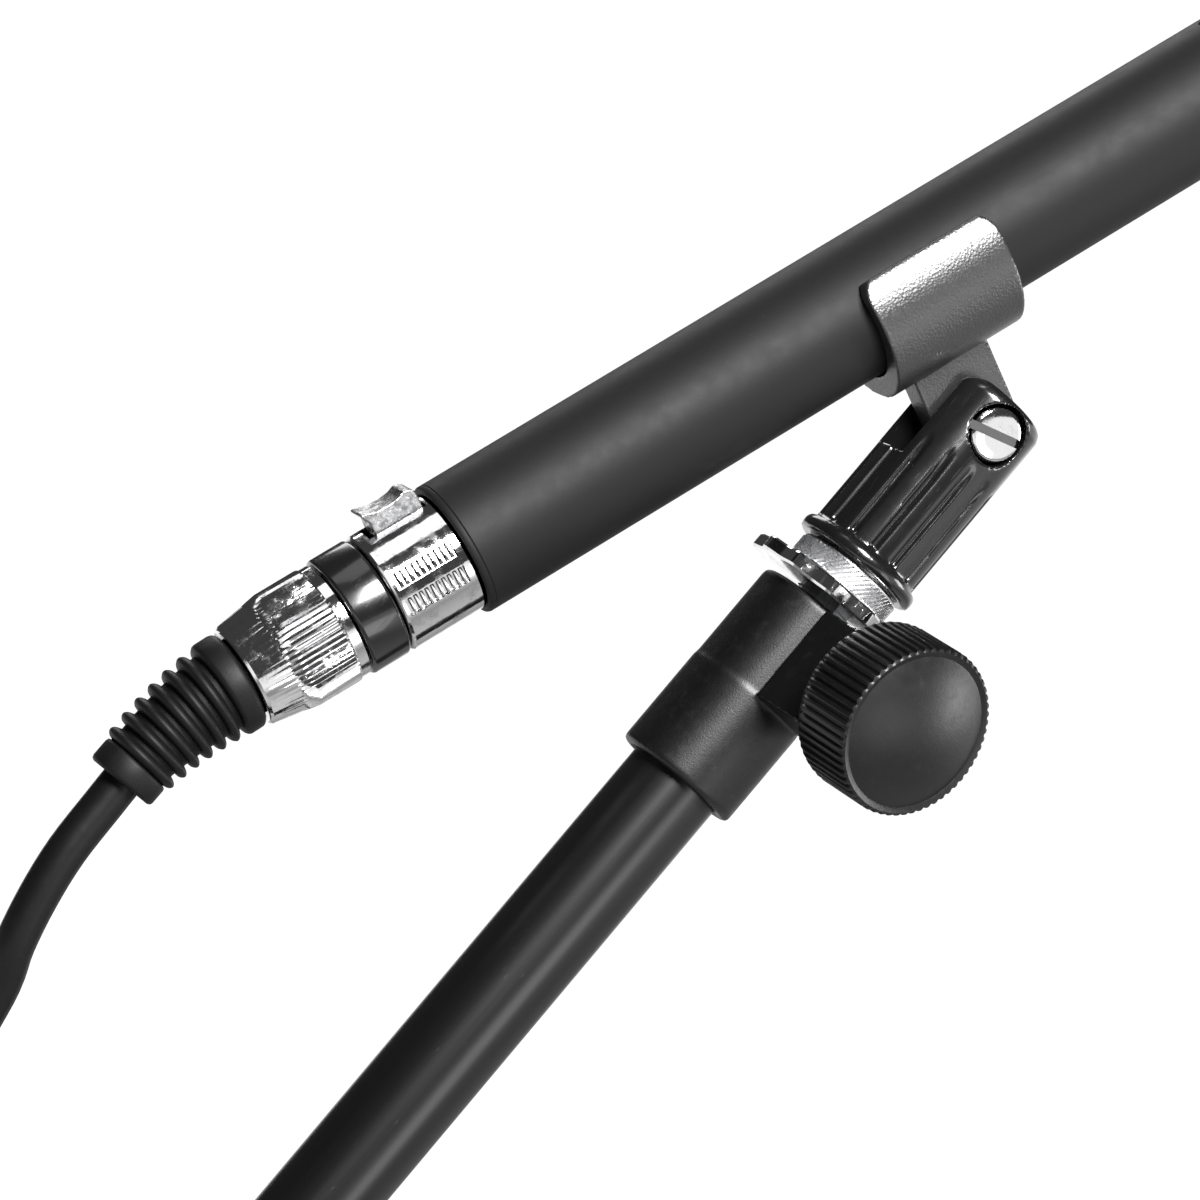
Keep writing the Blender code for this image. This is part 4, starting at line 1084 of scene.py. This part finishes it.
class BOOM_OT_lower_pole(bpy.types.Operator):
    """Outer tube, foam grip and butt cap."""

    bl_idname = "boom.lower_pole"
    bl_label = "Lower pole"

    def execute(self, context):
        sizes = context.scene.boom_pole
        outer = sizes.outer_tube / MM
        bore = outer - 0.95
        tube = [(bore, -80), (outer - 0.2, -80), (outer, -79.8), (outer, 247.6)]
        tube += [(outer - 0.3, 248), (bore, 248)]
        piece = turned("outer_tube_drawn", tube + tube[:1], GRIP, 112)
        finish_piece(piece, "pole_base", ["outer_tube"], "tube")
        grip = sizes.grip / MM
        over = outer + GAP
        rings = [(over, -62), (grip - 1.6, -62), (grip - 0.4, -61), (grip, -59.4)]
        for i in range(9):
            low = -52 + 13 * i
            rings += [(grip, low - 0.9), (grip - 0.55, low), (grip, low + 0.9)]
        rings += [(grip, 59.4), (grip - 0.4, 61), (grip - 1.6, 62), (over, 62), (over, -62)]
        piece = turned("foam_grip_ringed", rounded(rings, 0.5, 2), GRIP, 96, 50)
        finish_piece(piece, "pole_base", ["foam_grip"], "foam")
        cap = [(0, -80.3), (over, -80.3), (over, -66), (11.4, -66), (11.8, -66.5), (11.8, -70)]
        cap += [(11.5, -70.4)]
        cap += [(11.5, -71.2), (11.8, -71.6), (11.8, -82.2), (10.4, -84), (4, -84), (3.4, -83.4)]
        cap += [(0, -83.4)]
        piece = turned("butt_cap_turned", rounded(cap, 0.5, 3), GRIP, 80)
        finish_piece(piece, "pole_base", ["butt_cap"], "rubber")
        return {"FINISHED"}


class BOOM_OT_twist_lock(bpy.types.Operator):
    """Gland and ribbed twist collar."""

    bl_idname = "boom.twist_lock"
    bl_label = "Twist lock"

    def execute(self, context):
        sizes = context.scene.boom_pole
        over = sizes.outer_tube / MM + GAP
        gland = [(over, 222), (12.7, 222), (13.2, 222.5), (13.2, 225.5), (12.8, 226), (11.6, 226)]
        gland += [(11.6, 250)]
        gland += [(over, 250), (over, 222)]
        piece = turned("collar_gland_turned", rounded(gland, 0.3, 2), GRIP, 96)
        finish_piece(piece, "pole_base", ["collar_gland"], "black_plastic")
        collar = sizes.collar / MM
        top = 266.8
        slide = sizes.inner_tube / MM + GAP
        rings = [(11.9, 226.3), (13.1, 226.3), (collar, 226.8), (collar, 229.6)]
        rings += [(collar, 230.2, 0.55, 0), (collar, 259.4, 0.55, 0), (collar, 260.2)]
        rings += [(collar, 264.6), (collar - 0.5, 266.1), (collar - 1.3, top)]
        rings += [(slide, top), (slide, 262.8), (10.2, 262.8), (10.2, 250.3)]
        rings += [(11.9, 250.3), (11.9, 226.3)]
        piece = fluted("twist_collar_ribbed", rings, 36, (0, 0, 0.6, 1, 0.6), GRIP)
        finish_piece(piece, "lock_collar", ["twist_collar"], "black_plastic")
        return {"FINISHED"}


class BOOM_OT_head(bpy.types.Operator):
    """Inner tube and the clamp sleeve with its square boss."""

    bl_idname = "boom.head"
    bl_label = "Pole head"

    def execute(self, context):
        sizes = context.scene.boom_pole
        radius = sizes.inner_tube / MM
        bore = radius - 1.2
        top = SLEEVE_TOP - SLEEVE_ROOF - 2 * GAP
        low = 60 - HEAD_BASE
        tube = [(bore, low), (radius - 0.2, low), (radius, low + 0.2), (radius, top - 0.3)]
        tube += [(radius - 0.3, top)]
        tube += [(bore, top), (bore, low)]
        piece = turned("inner_tube_drawn", tube, POLE, 112)
        finish_piece(piece, "head", ["inner_tube"], "tube")
        self.add_sleeve(sizes.sleeve / MM, radius + GAP)
        return {"FINISHED"}

    def add_sleeve(self, radius, bore):
        """Sleeve with a faint step half way, rounded rims and bores for the tube, insert and shoe."""
        upper = radius - 0.15
        hole = THREAD_HOLE
        profile = [(hole, SLEEVE_TOP), (upper, SLEEVE_TOP), (upper, 17.9), (radius, 17.5), (radius, 0)]
        roof = SLEEVE_TOP - SLEEVE_ROOF
        profile += [(bore + 0.35, 0), (bore, 0.5), (bore, roof), (hole, roof), (hole, SLEEVE_TOP)]
        sleeve = turned("clamp_sleeve_moulded", rounded(profile, 1.0, 3), POLE, 96)
        boss = bar("boss", (-6.5, -9.6, 9.35), (6.5, 7.7, 20.0), KNOB, 0.0)
        sleeve = combine(sleeve, [boss], "UNION")
        for name, size, start, end in (("shoe", 3.3, 5.9, 11.2), ("insert", 4.1, 10.9, 22)):
            hollow = drill(name, size, start, end, KNOB, 32)
            sleeve = combine(sleeve, [hollow], "DIFFERENCE")
        soften(sleeve, 0.33, 3)
        finish_piece(sleeve, "head", ["clamp_sleeve"], "black_plastic")


class BOOM_OT_knob(bpy.types.Operator):
    """Serrated clamp knob with a domed face."""

    bl_idname = "boom.knob"
    bl_label = "Clamp knob"

    def execute(self, context):
        radius = context.scene.boom_pole.knob / MM
        rim = 36.4
        dome = radius * 0.86
        rings = [(0, rim + 2.5)]
        for i in range(1, 9):
            share = i / 8
            rings.append((dome * share, rim - 0.1 + 2.6 * math.cos(share * math.pi / 2) ** 0.9))
        rings[-1] = (dome, rim - 0.15)
        rings += [(dome + 0.35, rim - 0.30), (dome + 0.7, rim - 0.12), (radius - 0.75, rim + 0.02)]
        rings += [(radius - 0.25, rim - 0.2, 0.30, 0), (radius, rim - 0.75, 0.55, 0)]
        rings += [(radius, 25.2, 0.55, 0)]
        rings += [(radius - 0.3, 24.2, 0.35, 0), (radius - 0.8, 23.6), (radius - 1.6, 23.5)]
        rings += [(6.5, 23.5), (6.1, 22.9), (4.6, 22.9), (4.4, 23.5)]
        rings += [(2.8, 23.5), (2.8, rim - 5), (0, rim - 5)]
        piece = fluted("clamp_knob_serrated", rings, 60, (0, 0.15, 1, 1, 0.15), KNOB, 40)
        finish_piece(piece, "knob", ["clamp_knob"], "black_plastic")
        return {"FINISHED"}


class BOOM_OT_lock_nut(bpy.types.Operator):
    """Scalloped lock nut and the diamond-knurled insert above it."""

    bl_idname = "boom.lock_nut"
    bl_label = "Lock nut and insert"

    def execute(self, context):
        radius = context.scene.boom_pole.nut / MM
        low, high = 36.5, 39.0
        scallop = [(0.5 - 0.5 * math.cos(2 * math.pi * i / 12)) ** 0.7 for i in range(12)]
        rings = [(THREAD_HOLE, low), (radius - 1.5, low), (radius - 0.35, low, 1.1, 0)]
        rings += [(radius, low + 0.35, 1.1, 0)]
        rings += [(radius, high - 0.35, 1.1, 0), (radius - 0.35, high, 1.1, 0), (radius - 1.9, high)]
        rings += [(radius - 2.3, high - 0.25), (9.9, high - 0.25), (9.6, high)]
        rings += [(THREAD_HOLE, high), (THREAD_HOLE, low)]
        piece = fluted("lock_nut_scalloped", rings, 12, scallop, POLE)
        finish_piece(piece, "jam_nut", ["lock_nut"], "chrome")
        self.add_insert()
        return {"FINISHED"}

    def add_insert(self):
        """Flange with crossed knurling between two plain rims, and its shank."""
        low, high, flange = 39.3, 43.5, 9.3
        rings = [(THREAD_HOLE, low), (flange - 0.5, low), (flange - 0.2, low + 0.25)]
        rings += [(flange - 0.2, low + 0.5)]
        rows = 7
        for i in range(rows):
            rings.append((flange, low + 0.65 + (high - low - 1.3) * i / (rows - 1), 0.38, i % 2))
        rings += [(flange - 0.2, high - 0.5), (flange - 0.2, high - 0.25), (flange - 0.5, high)]
        rings += [(7.5, high), (7.5, 56), (0, 56)]
        outer = fluted("insert_outer", rings, 56, (0, 1), POLE, 20)
        hollow = drill("insert_hollow", THREAD_HOLE, low - 1, 54.6, POLE, 48)
        pick(outer)
        bpy.ops.object.mode_set(mode="EDIT")
        bpy.ops.mesh.select_all(action="DESELECT")
        bpy.ops.mesh.select_non_manifold()
        bpy.ops.mesh.edge_face_add()
        bpy.ops.object.mode_set(mode="OBJECT")
        piece = combine(outer, [hollow], "DIFFERENCE")
        piece.name = "threaded_insert_knurled"
        shade(piece, 20)
        finish_piece(piece, "swivel", ["threaded_insert"], "chrome", "knurl_chrome")


class BOOM_OT_swivel(bpy.types.Operator):
    """Fluted swivel base slotted into a fork."""

    bl_idname = "boom.swivel"
    bl_label = "Swivel base"

    def execute(self, context):
        radius = context.scene.boom_pole.swivel / MM
        low, high, top = 43.8, 46.4, 79.5
        bore, roof = 7.8, 56.3
        ring = 10.9
        depth = 0.75
        rings = [(0, roof), (bore, roof), (bore, low), (ring - 0.8, low)]
        rings += [(ring - 0.15, low + 0.35), (ring, low + 0.95), (ring, low + 1.65)]
        rings += [(ring - 0.25, high - 0.3), (ring - 0.8, high), (radius + 0.15, high)]
        rings += [(radius, high + 0.35), (radius, high + 0.7, depth, 0), (radius, 61.5, depth, 0)]
        rings += [(radius, 63.5, depth * 0.85, 0), (radius, 65.5, depth * 0.45, 0), (radius, 67.3)]
        rings += [(radius, top - 1.8), (radius - 0.35, top - 0.8), (radius - 1.0, top - 0.2)]
        rings += [(radius - 1.7, top), (0, top)]
        groove = (1, 0.85, 0, 0, 0, 0, 0, 0, 0, 0, 0, 0.85)
        offset = math.pi / 14
        body = fluted("swivel_base_fluted", rings, 14, groove, POLE @ Matrix.Rotation(offset, 4, "Z"))
        slot = bar("slot", (-14, -4.0, 62.0), (14, 4.0, top + 3), POLE)
        body = combine(body, [slot], "DIFFERENCE")
        body = combine(body, [self.outside_corners(radius, top)], "DIFFERENCE")
        for name, size, start, end, sides in (
            ("head_recess", 5.05, -14, -6.4, 48),
            ("nut_recess", 4.8, 6.4, 14, 6),
            ("pivot_bore", PIVOT_HOLE, -13, 13, 32),
        ):
            hollow = drill(name, size, start, end, PIVOT, sides)
            body = combine(body, [hollow], "DIFFERENCE")
        soften(body, 0.27, 2)
        finish_piece(body, "swivel", ["swivel_base"], "gloss_plastic")
        return {"FINISHED"}

    def outside_corners(self, radius, top):
        """What lies outside the fork's rounded top corners."""
        around = bar("around", (-14, -13, top - 7), (14, 13, top + 3), Matrix())
        kept = bar("kept", (-radius - 0.02, -15, top - 20), (radius + 0.02, 15, top + 0.02), Matrix())
        round_edges(kept, 5.2, lambda run: abs(run.y) > 0.9, 10)
        return settle(combine(around, [kept], "DIFFERENCE"), POLE)


class BOOM_OT_pivot_screw(bpy.types.Operator):
    """Slotted pivot screw."""

    bl_idname = "boom.pivot_screw"
    bl_label = "Pivot screw"

    def execute(self, context):
        face = -8.8
        head = [(0, 8.3), (2.3, 8.3), (2.5, 8.0), (2.5, -6.7), (4.3, -6.7), (4.6, -7.0)]
        head += [(4.6, face + 0.9)]
        head += [(4.35, face + 0.35), (3.9, face + 0.12), (2.6, face), (0, face)]
        screw = turned("pivot_screw_slotted", rounded(head, 0.2, 2), PIVOT, 80)
        turn = PIVOT @ Matrix.Rotation(math.radians(52), 4, "Z")
        slot = bar("drive", (-8, -0.7, face - 1), (8, 0.7, face + 1.7), turn)
        screw = combine(screw, [slot], "DIFFERENCE")
        shade(screw, 35)
        finish_piece(screw, "screw", ["pivot_screw"], "chrome", "screw_chrome")
        return {"FINISHED"}


# ---------------------------------------------------------------- microphone and clip


class BOOM_OT_clip(bpy.types.Operator):
    """C-shaped microphone clip with its ear."""

    bl_idname = "boom.clip"
    bl_label = "Microphone clip"

    def execute(self, context):
        sizes = context.scene.boom_mic
        inner = sizes.body / MM + GAP
        drop = 0.9
        outer = inner + sizes.clip_wall / MM + drop / 2
        lip = 125.0
        half = 12.1
        outline = arc(outer, -lip, lip, 72, (drop, 0.0)) + arc(inner, lip, -lip, 72)
        clip = outline_plate("mic_clip_moulded", outline, -half, half, MIC)
        reach = outer + 2
        low = outer + drop + 3
        high = -inner * math.sin(math.radians(35.0)) - 1.2
        sides = bar("corners", (high, -reach, -half), (low, reach, half), Matrix())
        round_edges(sides, 3.6, lambda run: abs(run.y) > 0.9, 8)
        settle(sides, MIC)
        clip = combine(clip, [sides], "INTERSECT")
        rise = MIC_HEIGHT - inner - 0.8
        ear_radius = 7.0
        outline = [(-ear_radius, -rise), (ear_radius, -rise)] + arc(ear_radius, 0, 180, 24)
        ear = outline_plate("ear", outline, -2.8, 2.8, PIVOT)
        clip = combine(clip, [ear], "UNION")
        bore = drill("ear_bore", PIVOT_HOLE, -9, 9, PIVOT, 32)
        clip = combine(clip, [bore], "DIFFERENCE")
        soften(clip, 0.24, 4)
        finish_piece(clip, "clip", ["mic_clip"], "grey_plastic")
        return {"FINISHED"}


class BOOM_OT_microphone(bpy.types.Operator):
    """Slim microphone body with sound slots, and its nose cap."""

    bl_idname = "boom.microphone"
    bl_label = "Microphone"

    def execute(self, context):
        sizes = context.scene.boom_mic
        radius = sizes.body / MM
        nose = MIC_REAR + sizes.total / MM
        front = nose - 9.4
        bore = radius - 1.4
        body = [(bore, MIC_REAR + 0.3), (bore + 0.35, MIC_REAR), (radius - 0.42, MIC_REAR)]
        body += [(radius - 0.15, MIC_REAR + 0.12)]
        body += [(radius, MIC_REAR + 0.45), (radius, MIC_REAR + 0.9)]
        body += [(radius - 0.12, MIC_REAR + 1.05), (radius, MIC_REAR + 1.2)]
        body += [(radius, front - 0.4), (radius - 0.3, front), (bore, front), (bore, MIC_REAR + 0.3)]
        shell = turned("mic_body_coated", body, MIC, 112, 30)
        shell = combine(shell, [self.slots(radius)], "DIFFERENCE")
        shade(shell, 30)
        finish_piece(shell, "microphone", ["mic_body"], "soft_coat")
        self.add_nose(radius, front, nose, bore - GAP)
        return {"FINISHED"}

    def slots(self, radius):
        """One cutter of round-ended slots in five rows of six."""
        cutters = []
        for row in range(5):
            for i in range(6):
                turn = Matrix.Rotation(2 * math.pi * (i + 0.5 * (row % 2)) / 6, 4, "Z")
                low = 62 + 17 * row
                slot = bar("slot", (radius - 2.2, -1.2, low), (radius + 2, 1.2, low + 11), Matrix())
                round_edges(slot, 1.15, lambda run: abs(run.x) > 0.9, 5)
                settle(slot, MIC @ turn)
                cutters.append(slot)
        return joined("slots", cutters)

    def add_nose(self, radius, front, nose, neck):
        """Nose cap with a ring groove and a shallow dish in its face."""
        low = front + GAP
        cap = [(0, nose - 0.5), (8.2, nose - 0.5), (8.6, nose), (radius - 0.9, nose)]
        cap += [(radius, nose - 0.9)]
        cap += [(radius, nose - 3.4), (radius - 0.25, nose - 3.7), (radius - 0.25, nose - 4.3)]
        cap += [(radius, nose - 4.6)]
        cap += [(radius, low + 0.2), (radius - 0.2, low), (neck, low), (neck, low - 4)]
        cap += [(neck - 1.3, low - 4)]
        cap += [(neck - 1.3, nose - 2), (0, nose - 2)]
        piece = turned("nose_cap_turned", rounded(cap, 0.25, 2), MIC, 112)
        finish_piece(piece, "microphone", ["nose_cap"], "tube", "nose")


# ---------------------------------------------------------------- plug


class BOOM_OT_plug(bpy.types.Operator):
    """Plug shell with its ridged panels, the latch tab and the black ring."""

    bl_idname = "boom.plug"
    bl_label = "Plug"

    def execute(self, context):
        radius = context.scene.boom_mic.plug / MM
        self.add_shell(radius)
        self.add_latch(radius)
        low = PLUG_SHELL + GAP
        high = low + PLUG_RING
        band = [(7.2, low), (radius - 0.4, low), (radius, low + 0.4), (radius, high - 0.4)]
        band += [(radius - 0.4, high)]
        band += [(7.2, high), (7.2, low)]
        piece = turned("plug_ring_turned", rounded(band, 0.2, 3), PLUG, 96)
        finish_piece(piece, "plug", ["plug_ring"], "gloss_plastic")
        return {"FINISHED"}

    def add_shell(self, radius):
        """Turned shell, its latch pocket, and on each side two sunk panels of fine ridges."""
        end = PLUG_SHELL
        shell = [(6.9, -13.5), (7.6, -13.5), (7.9, -13.2), (7.9, 0.3), (radius - 0.3, 0.3)]
        shell += [(radius, 0.6)]
        shell += [(radius, end - 0.5), (radius - 0.5, end), (6.9, end), (6.9, -13.5)]
        body = turned("plug_shell_cast", shell, PLUG, 112)
        pocket = bar("pocket", (7.6, -2.7, 1.0), (radius + 2, 2.7, 11.3), PLUG)
        body = combine(body, [pocket], "DIFFERENCE")
        ridges = []
        for side in (-1, 1):
            for angle in (66.5, 92.75):
                turn = PLUG @ Matrix.Rotation(side * math.radians(angle), 4, "Z")
                sunk = bar("sunk", (radius - 0.62, -1.45, 1.7), (radius + 1, 1.45, 12.3), turn)
                body = combine(body, [sunk], "DIFFERENCE")
                for i in range(10):
                    low = 2.1 + 1.0 * i
                    corners = (radius - 0.9, -1.3, low), (radius - 0.08, 1.3, low + 0.50)
                    ridges.append(bar("ridge", *corners, turn, 0.12))
        piece = joined("plug_shell_ridged", [body] + ridges)
        shade(piece, 30)
        finish_piece(piece, "plug", ["plug_shell"], "chrome", "shell_chrome")

    def add_latch(self, radius):
        """Latch tab: a wedge with a hollowed top and a thin lip that rises at its rear."""
        low, top, half = 8.6, radius + 3.4, 2.4
        side = [(low, 1.4), (top - 0.9, 1.6), (top - 0.25, 2.4), (top - 0.05, 3.2), (top - 0.55, 4.4)]
        side += [(top - 0.75, 6.2), (top - 0.65, 8.2), (top - 0.2, 9.7), (top, 10.5), (top - 0.1, 10.9)]
        side += [(top - 0.5, 10.8), (radius + 1.6, 9.9), (radius + 0.5, 10.0), (low, 10.0)]
        outline = rounded(side + side[:1], 0.25, 2)[:-1]
        piece = outline_plate("latch_tab_toothed", outline, -half, half, PLUG @ ACROSS)
        pick(piece)
        edge = piece.modifiers.new("edge", "BEVEL")
        edge.width = 0.22 * MM
        edge.segments = 2
        edge.limit_method = "ANGLE"
        edge.angle_limit = math.radians(60)
        bpy.ops.object.modifier_apply(modifier=edge.name)
        shade(piece, 35)
        finish_piece(piece, "latch", ["latch_tab"], "chrome", "latch_cast")


class BOOM_OT_back_nut(bpy.types.Operator):
    """Knurled back nut of the plug."""

    bl_idname = "boom.back_nut"
    bl_label = "Back nut"

    def execute(self, context):
        low = PLUG_SHELL + PLUG_RING + 2 * GAP
        high = low + PLUG_NUT
        radius, rear = 9.7, 8.4
        straight = low + 8.5
        cone = (radius - rear) / (high - straight)
        rings = [(7.6, low), (radius - 0.5, low), (radius - 0.25, low + 0.2)]
        rings += [(radius - 0.25, low + 1.7), (radius - 0.05, low + 1.8), (radius, low + 2.1, 0.38, 0)]
        rings += [(radius, straight + 0.6, 0.38, 0), (radius - cone * 2.2, straight + 2.4, 0.30, 0)]
        rings += [(radius - cone * 3.6, straight + 3.4), (rear + 0.05, high - 0.5)]
        rings += [(rear - 0.25, high - 0.1)]
        rings += [(rear - 0.6, high), (rear - 1.1, high - 0.1), (6.4, high - 0.5)]
        rings += [(6.4, high - 2.3), (7.6, high - 3.8), (7.6, low)]
        piece = fluted("plug_nut_knurled", rings, 64, (0, 0.5, 1, 0.5), PLUG, 25)
        finish_piece(piece, "back_nut", ["plug_nut"], "chrome", "plug_chrome")
        return {"FINISHED"}


class BOOM_OT_boot(bpy.types.Operator):
    """Ribbed rubber boot that droops behind the plug."""

    bl_idname = "boom.boot"
    bl_label = "Cable boot"

    def execute(self, context):
        front, rear = 8.0, 5.75
        stations = [(0.0, front - 1.0), (0.15, front - 0.5), (0.5, front - 0.12), (0.9, front)]
        stations += [(BOOT_COLLAR - 0.9, front), (BOOT_COLLAR - 0.5, front - 0.12)]
        stations += [(BOOT_COLLAR - 0.15, front - 0.5)]
        pitch = (BOOT_LENGTH - 2 * BOOT_COLLAR) / BOOT_RIBS
        for i in range(BOOT_RIBS):
            radius = front - 0.3 - (front - rear - 1.0) * i / (BOOT_RIBS - 1)
            rib = BOOT_COLLAR + pitch * i
            stations += [(rib, radius - 1.25), (rib + 0.28 * pitch, radius - 1.3)]
            for share in (0.36, 0.42, 0.50, 0.58, 0.66, 0.74, 0.82, 0.90, 0.96):
                swell = math.sin(math.pi * (share - 0.32) / 0.70) ** 0.5
                stations.append((rib + share * pitch, radius - 1.25 + 1.25 * swell))
        end = BOOT_LENGTH - BOOT_COLLAR
        stations += [(end + 0.1, rear - 0.6), (end + 0.3, rear - 0.15), (end + 0.7, rear)]
        stations += [(BOOT_LENGTH - 0.7, rear), (BOOT_LENGTH - 0.25, rear - 0.15)]
        stations += [(BOOT_LENGTH, rear - 0.6)]
        path = [behind_mic(*boot_point(travel)) for travel, _ in stations]
        boot = line_curve("cable_boot_ribbed", path, [radius for _, radius in stations], 14)
        pick(boot)
        bpy.ops.object.convert(target="MESH")
        boot = bpy.context.active_object
        close_up(boot, 50)
        finish_piece(boot, "plug", ["cable_boot"], "rubber")
        return {"FINISHED"}


class BOOM_OT_inside(bpy.types.Operator):
    """Finishes of the pieces that keep their frame shape."""

    bl_idname = "boom.inside"
    bl_label = "Inner pieces"

    def execute(self, context):
        for node in FRAME["nodes"].values():
            if node.hide_render:
                continue
            for held in node.material_slots:
                slot = held.material.name.split(".")[0]
                if slot not in SLOT_FINISH:
                    raise RuntimeError(f"{node.name} has no finish for {slot}")
                held.material = finishes()[SLOT_FINISH[slot]]
        return {"FINISHED"}


def declare_cord():
    """Lists the names of the pieces on the cable and finds the end of the boot; neither is used."""
    names = ["cord_tie_strap", "end_boot_ribbed", "end_shell_turned", "end_insert"]
    names += ["end_pin_1", "end_pin_2", "end_pin_3"]
    behind_mic(*boot_point(BOOT_LENGTH))


OPERATORS = (
    BOOM_OT_stage,
    BOOM_OT_cord,
    BOOM_OT_tie,
    BOOM_OT_end_plug,
    BOOM_OT_lower_pole,
    BOOM_OT_twist_lock,
    BOOM_OT_head,
    BOOM_OT_knob,
    BOOM_OT_lock_nut,
    BOOM_OT_swivel,
    BOOM_OT_pivot_screw,
    BOOM_OT_clip,
    BOOM_OT_microphone,
    BOOM_OT_plug,
    BOOM_OT_back_nut,
    BOOM_OT_boot,
    BOOM_OT_inside,
)


class BOOM_PT_panel(bpy.types.Panel):
    """Sidebar list of the pieces."""

    bl_idname = "BOOM_PT_panel"
    bl_label = "Boom pole"
    bl_space_type = "VIEW_3D"
    bl_region_type = "UI"
    bl_category = "Boom pole"

    def draw(self, context):
        for group in ("boom_pole", "boom_mic", "boom_colours"):
            box = self.layout.box()
            settings = getattr(context.scene, group)
            for key in settings.__annotations__:
                box.prop(settings, key)
        for operator in OPERATORS:
            self.layout.operator(operator.bl_idname)


CLASSES = (PoleSizes, MicSizes, FinishColours, *OPERATORS, BOOM_PT_panel)


def register():
    for each in CLASSES:
        bpy.utils.register_class(each)
    bpy.types.Scene.boom_pole = bpy.props.PointerProperty(type=PoleSizes)
    bpy.types.Scene.boom_mic = bpy.props.PointerProperty(type=MicSizes)
    bpy.types.Scene.boom_colours = bpy.props.PointerProperty(type=FinishColours)


def unregister():
    del bpy.types.Scene.boom_pole
    del bpy.types.Scene.boom_mic
    del bpy.types.Scene.boom_colours
    for each in reversed(CLASSES):
        bpy.utils.unregister_class(each)


def main():
    register()
    for operator in OPERATORS:
        group, name = operator.bl_idname.split(".")
        getattr(getattr(bpy.ops, group), name)()
    declare_cord()
    clear_selection()


if __name__ == "__main__":
    main()
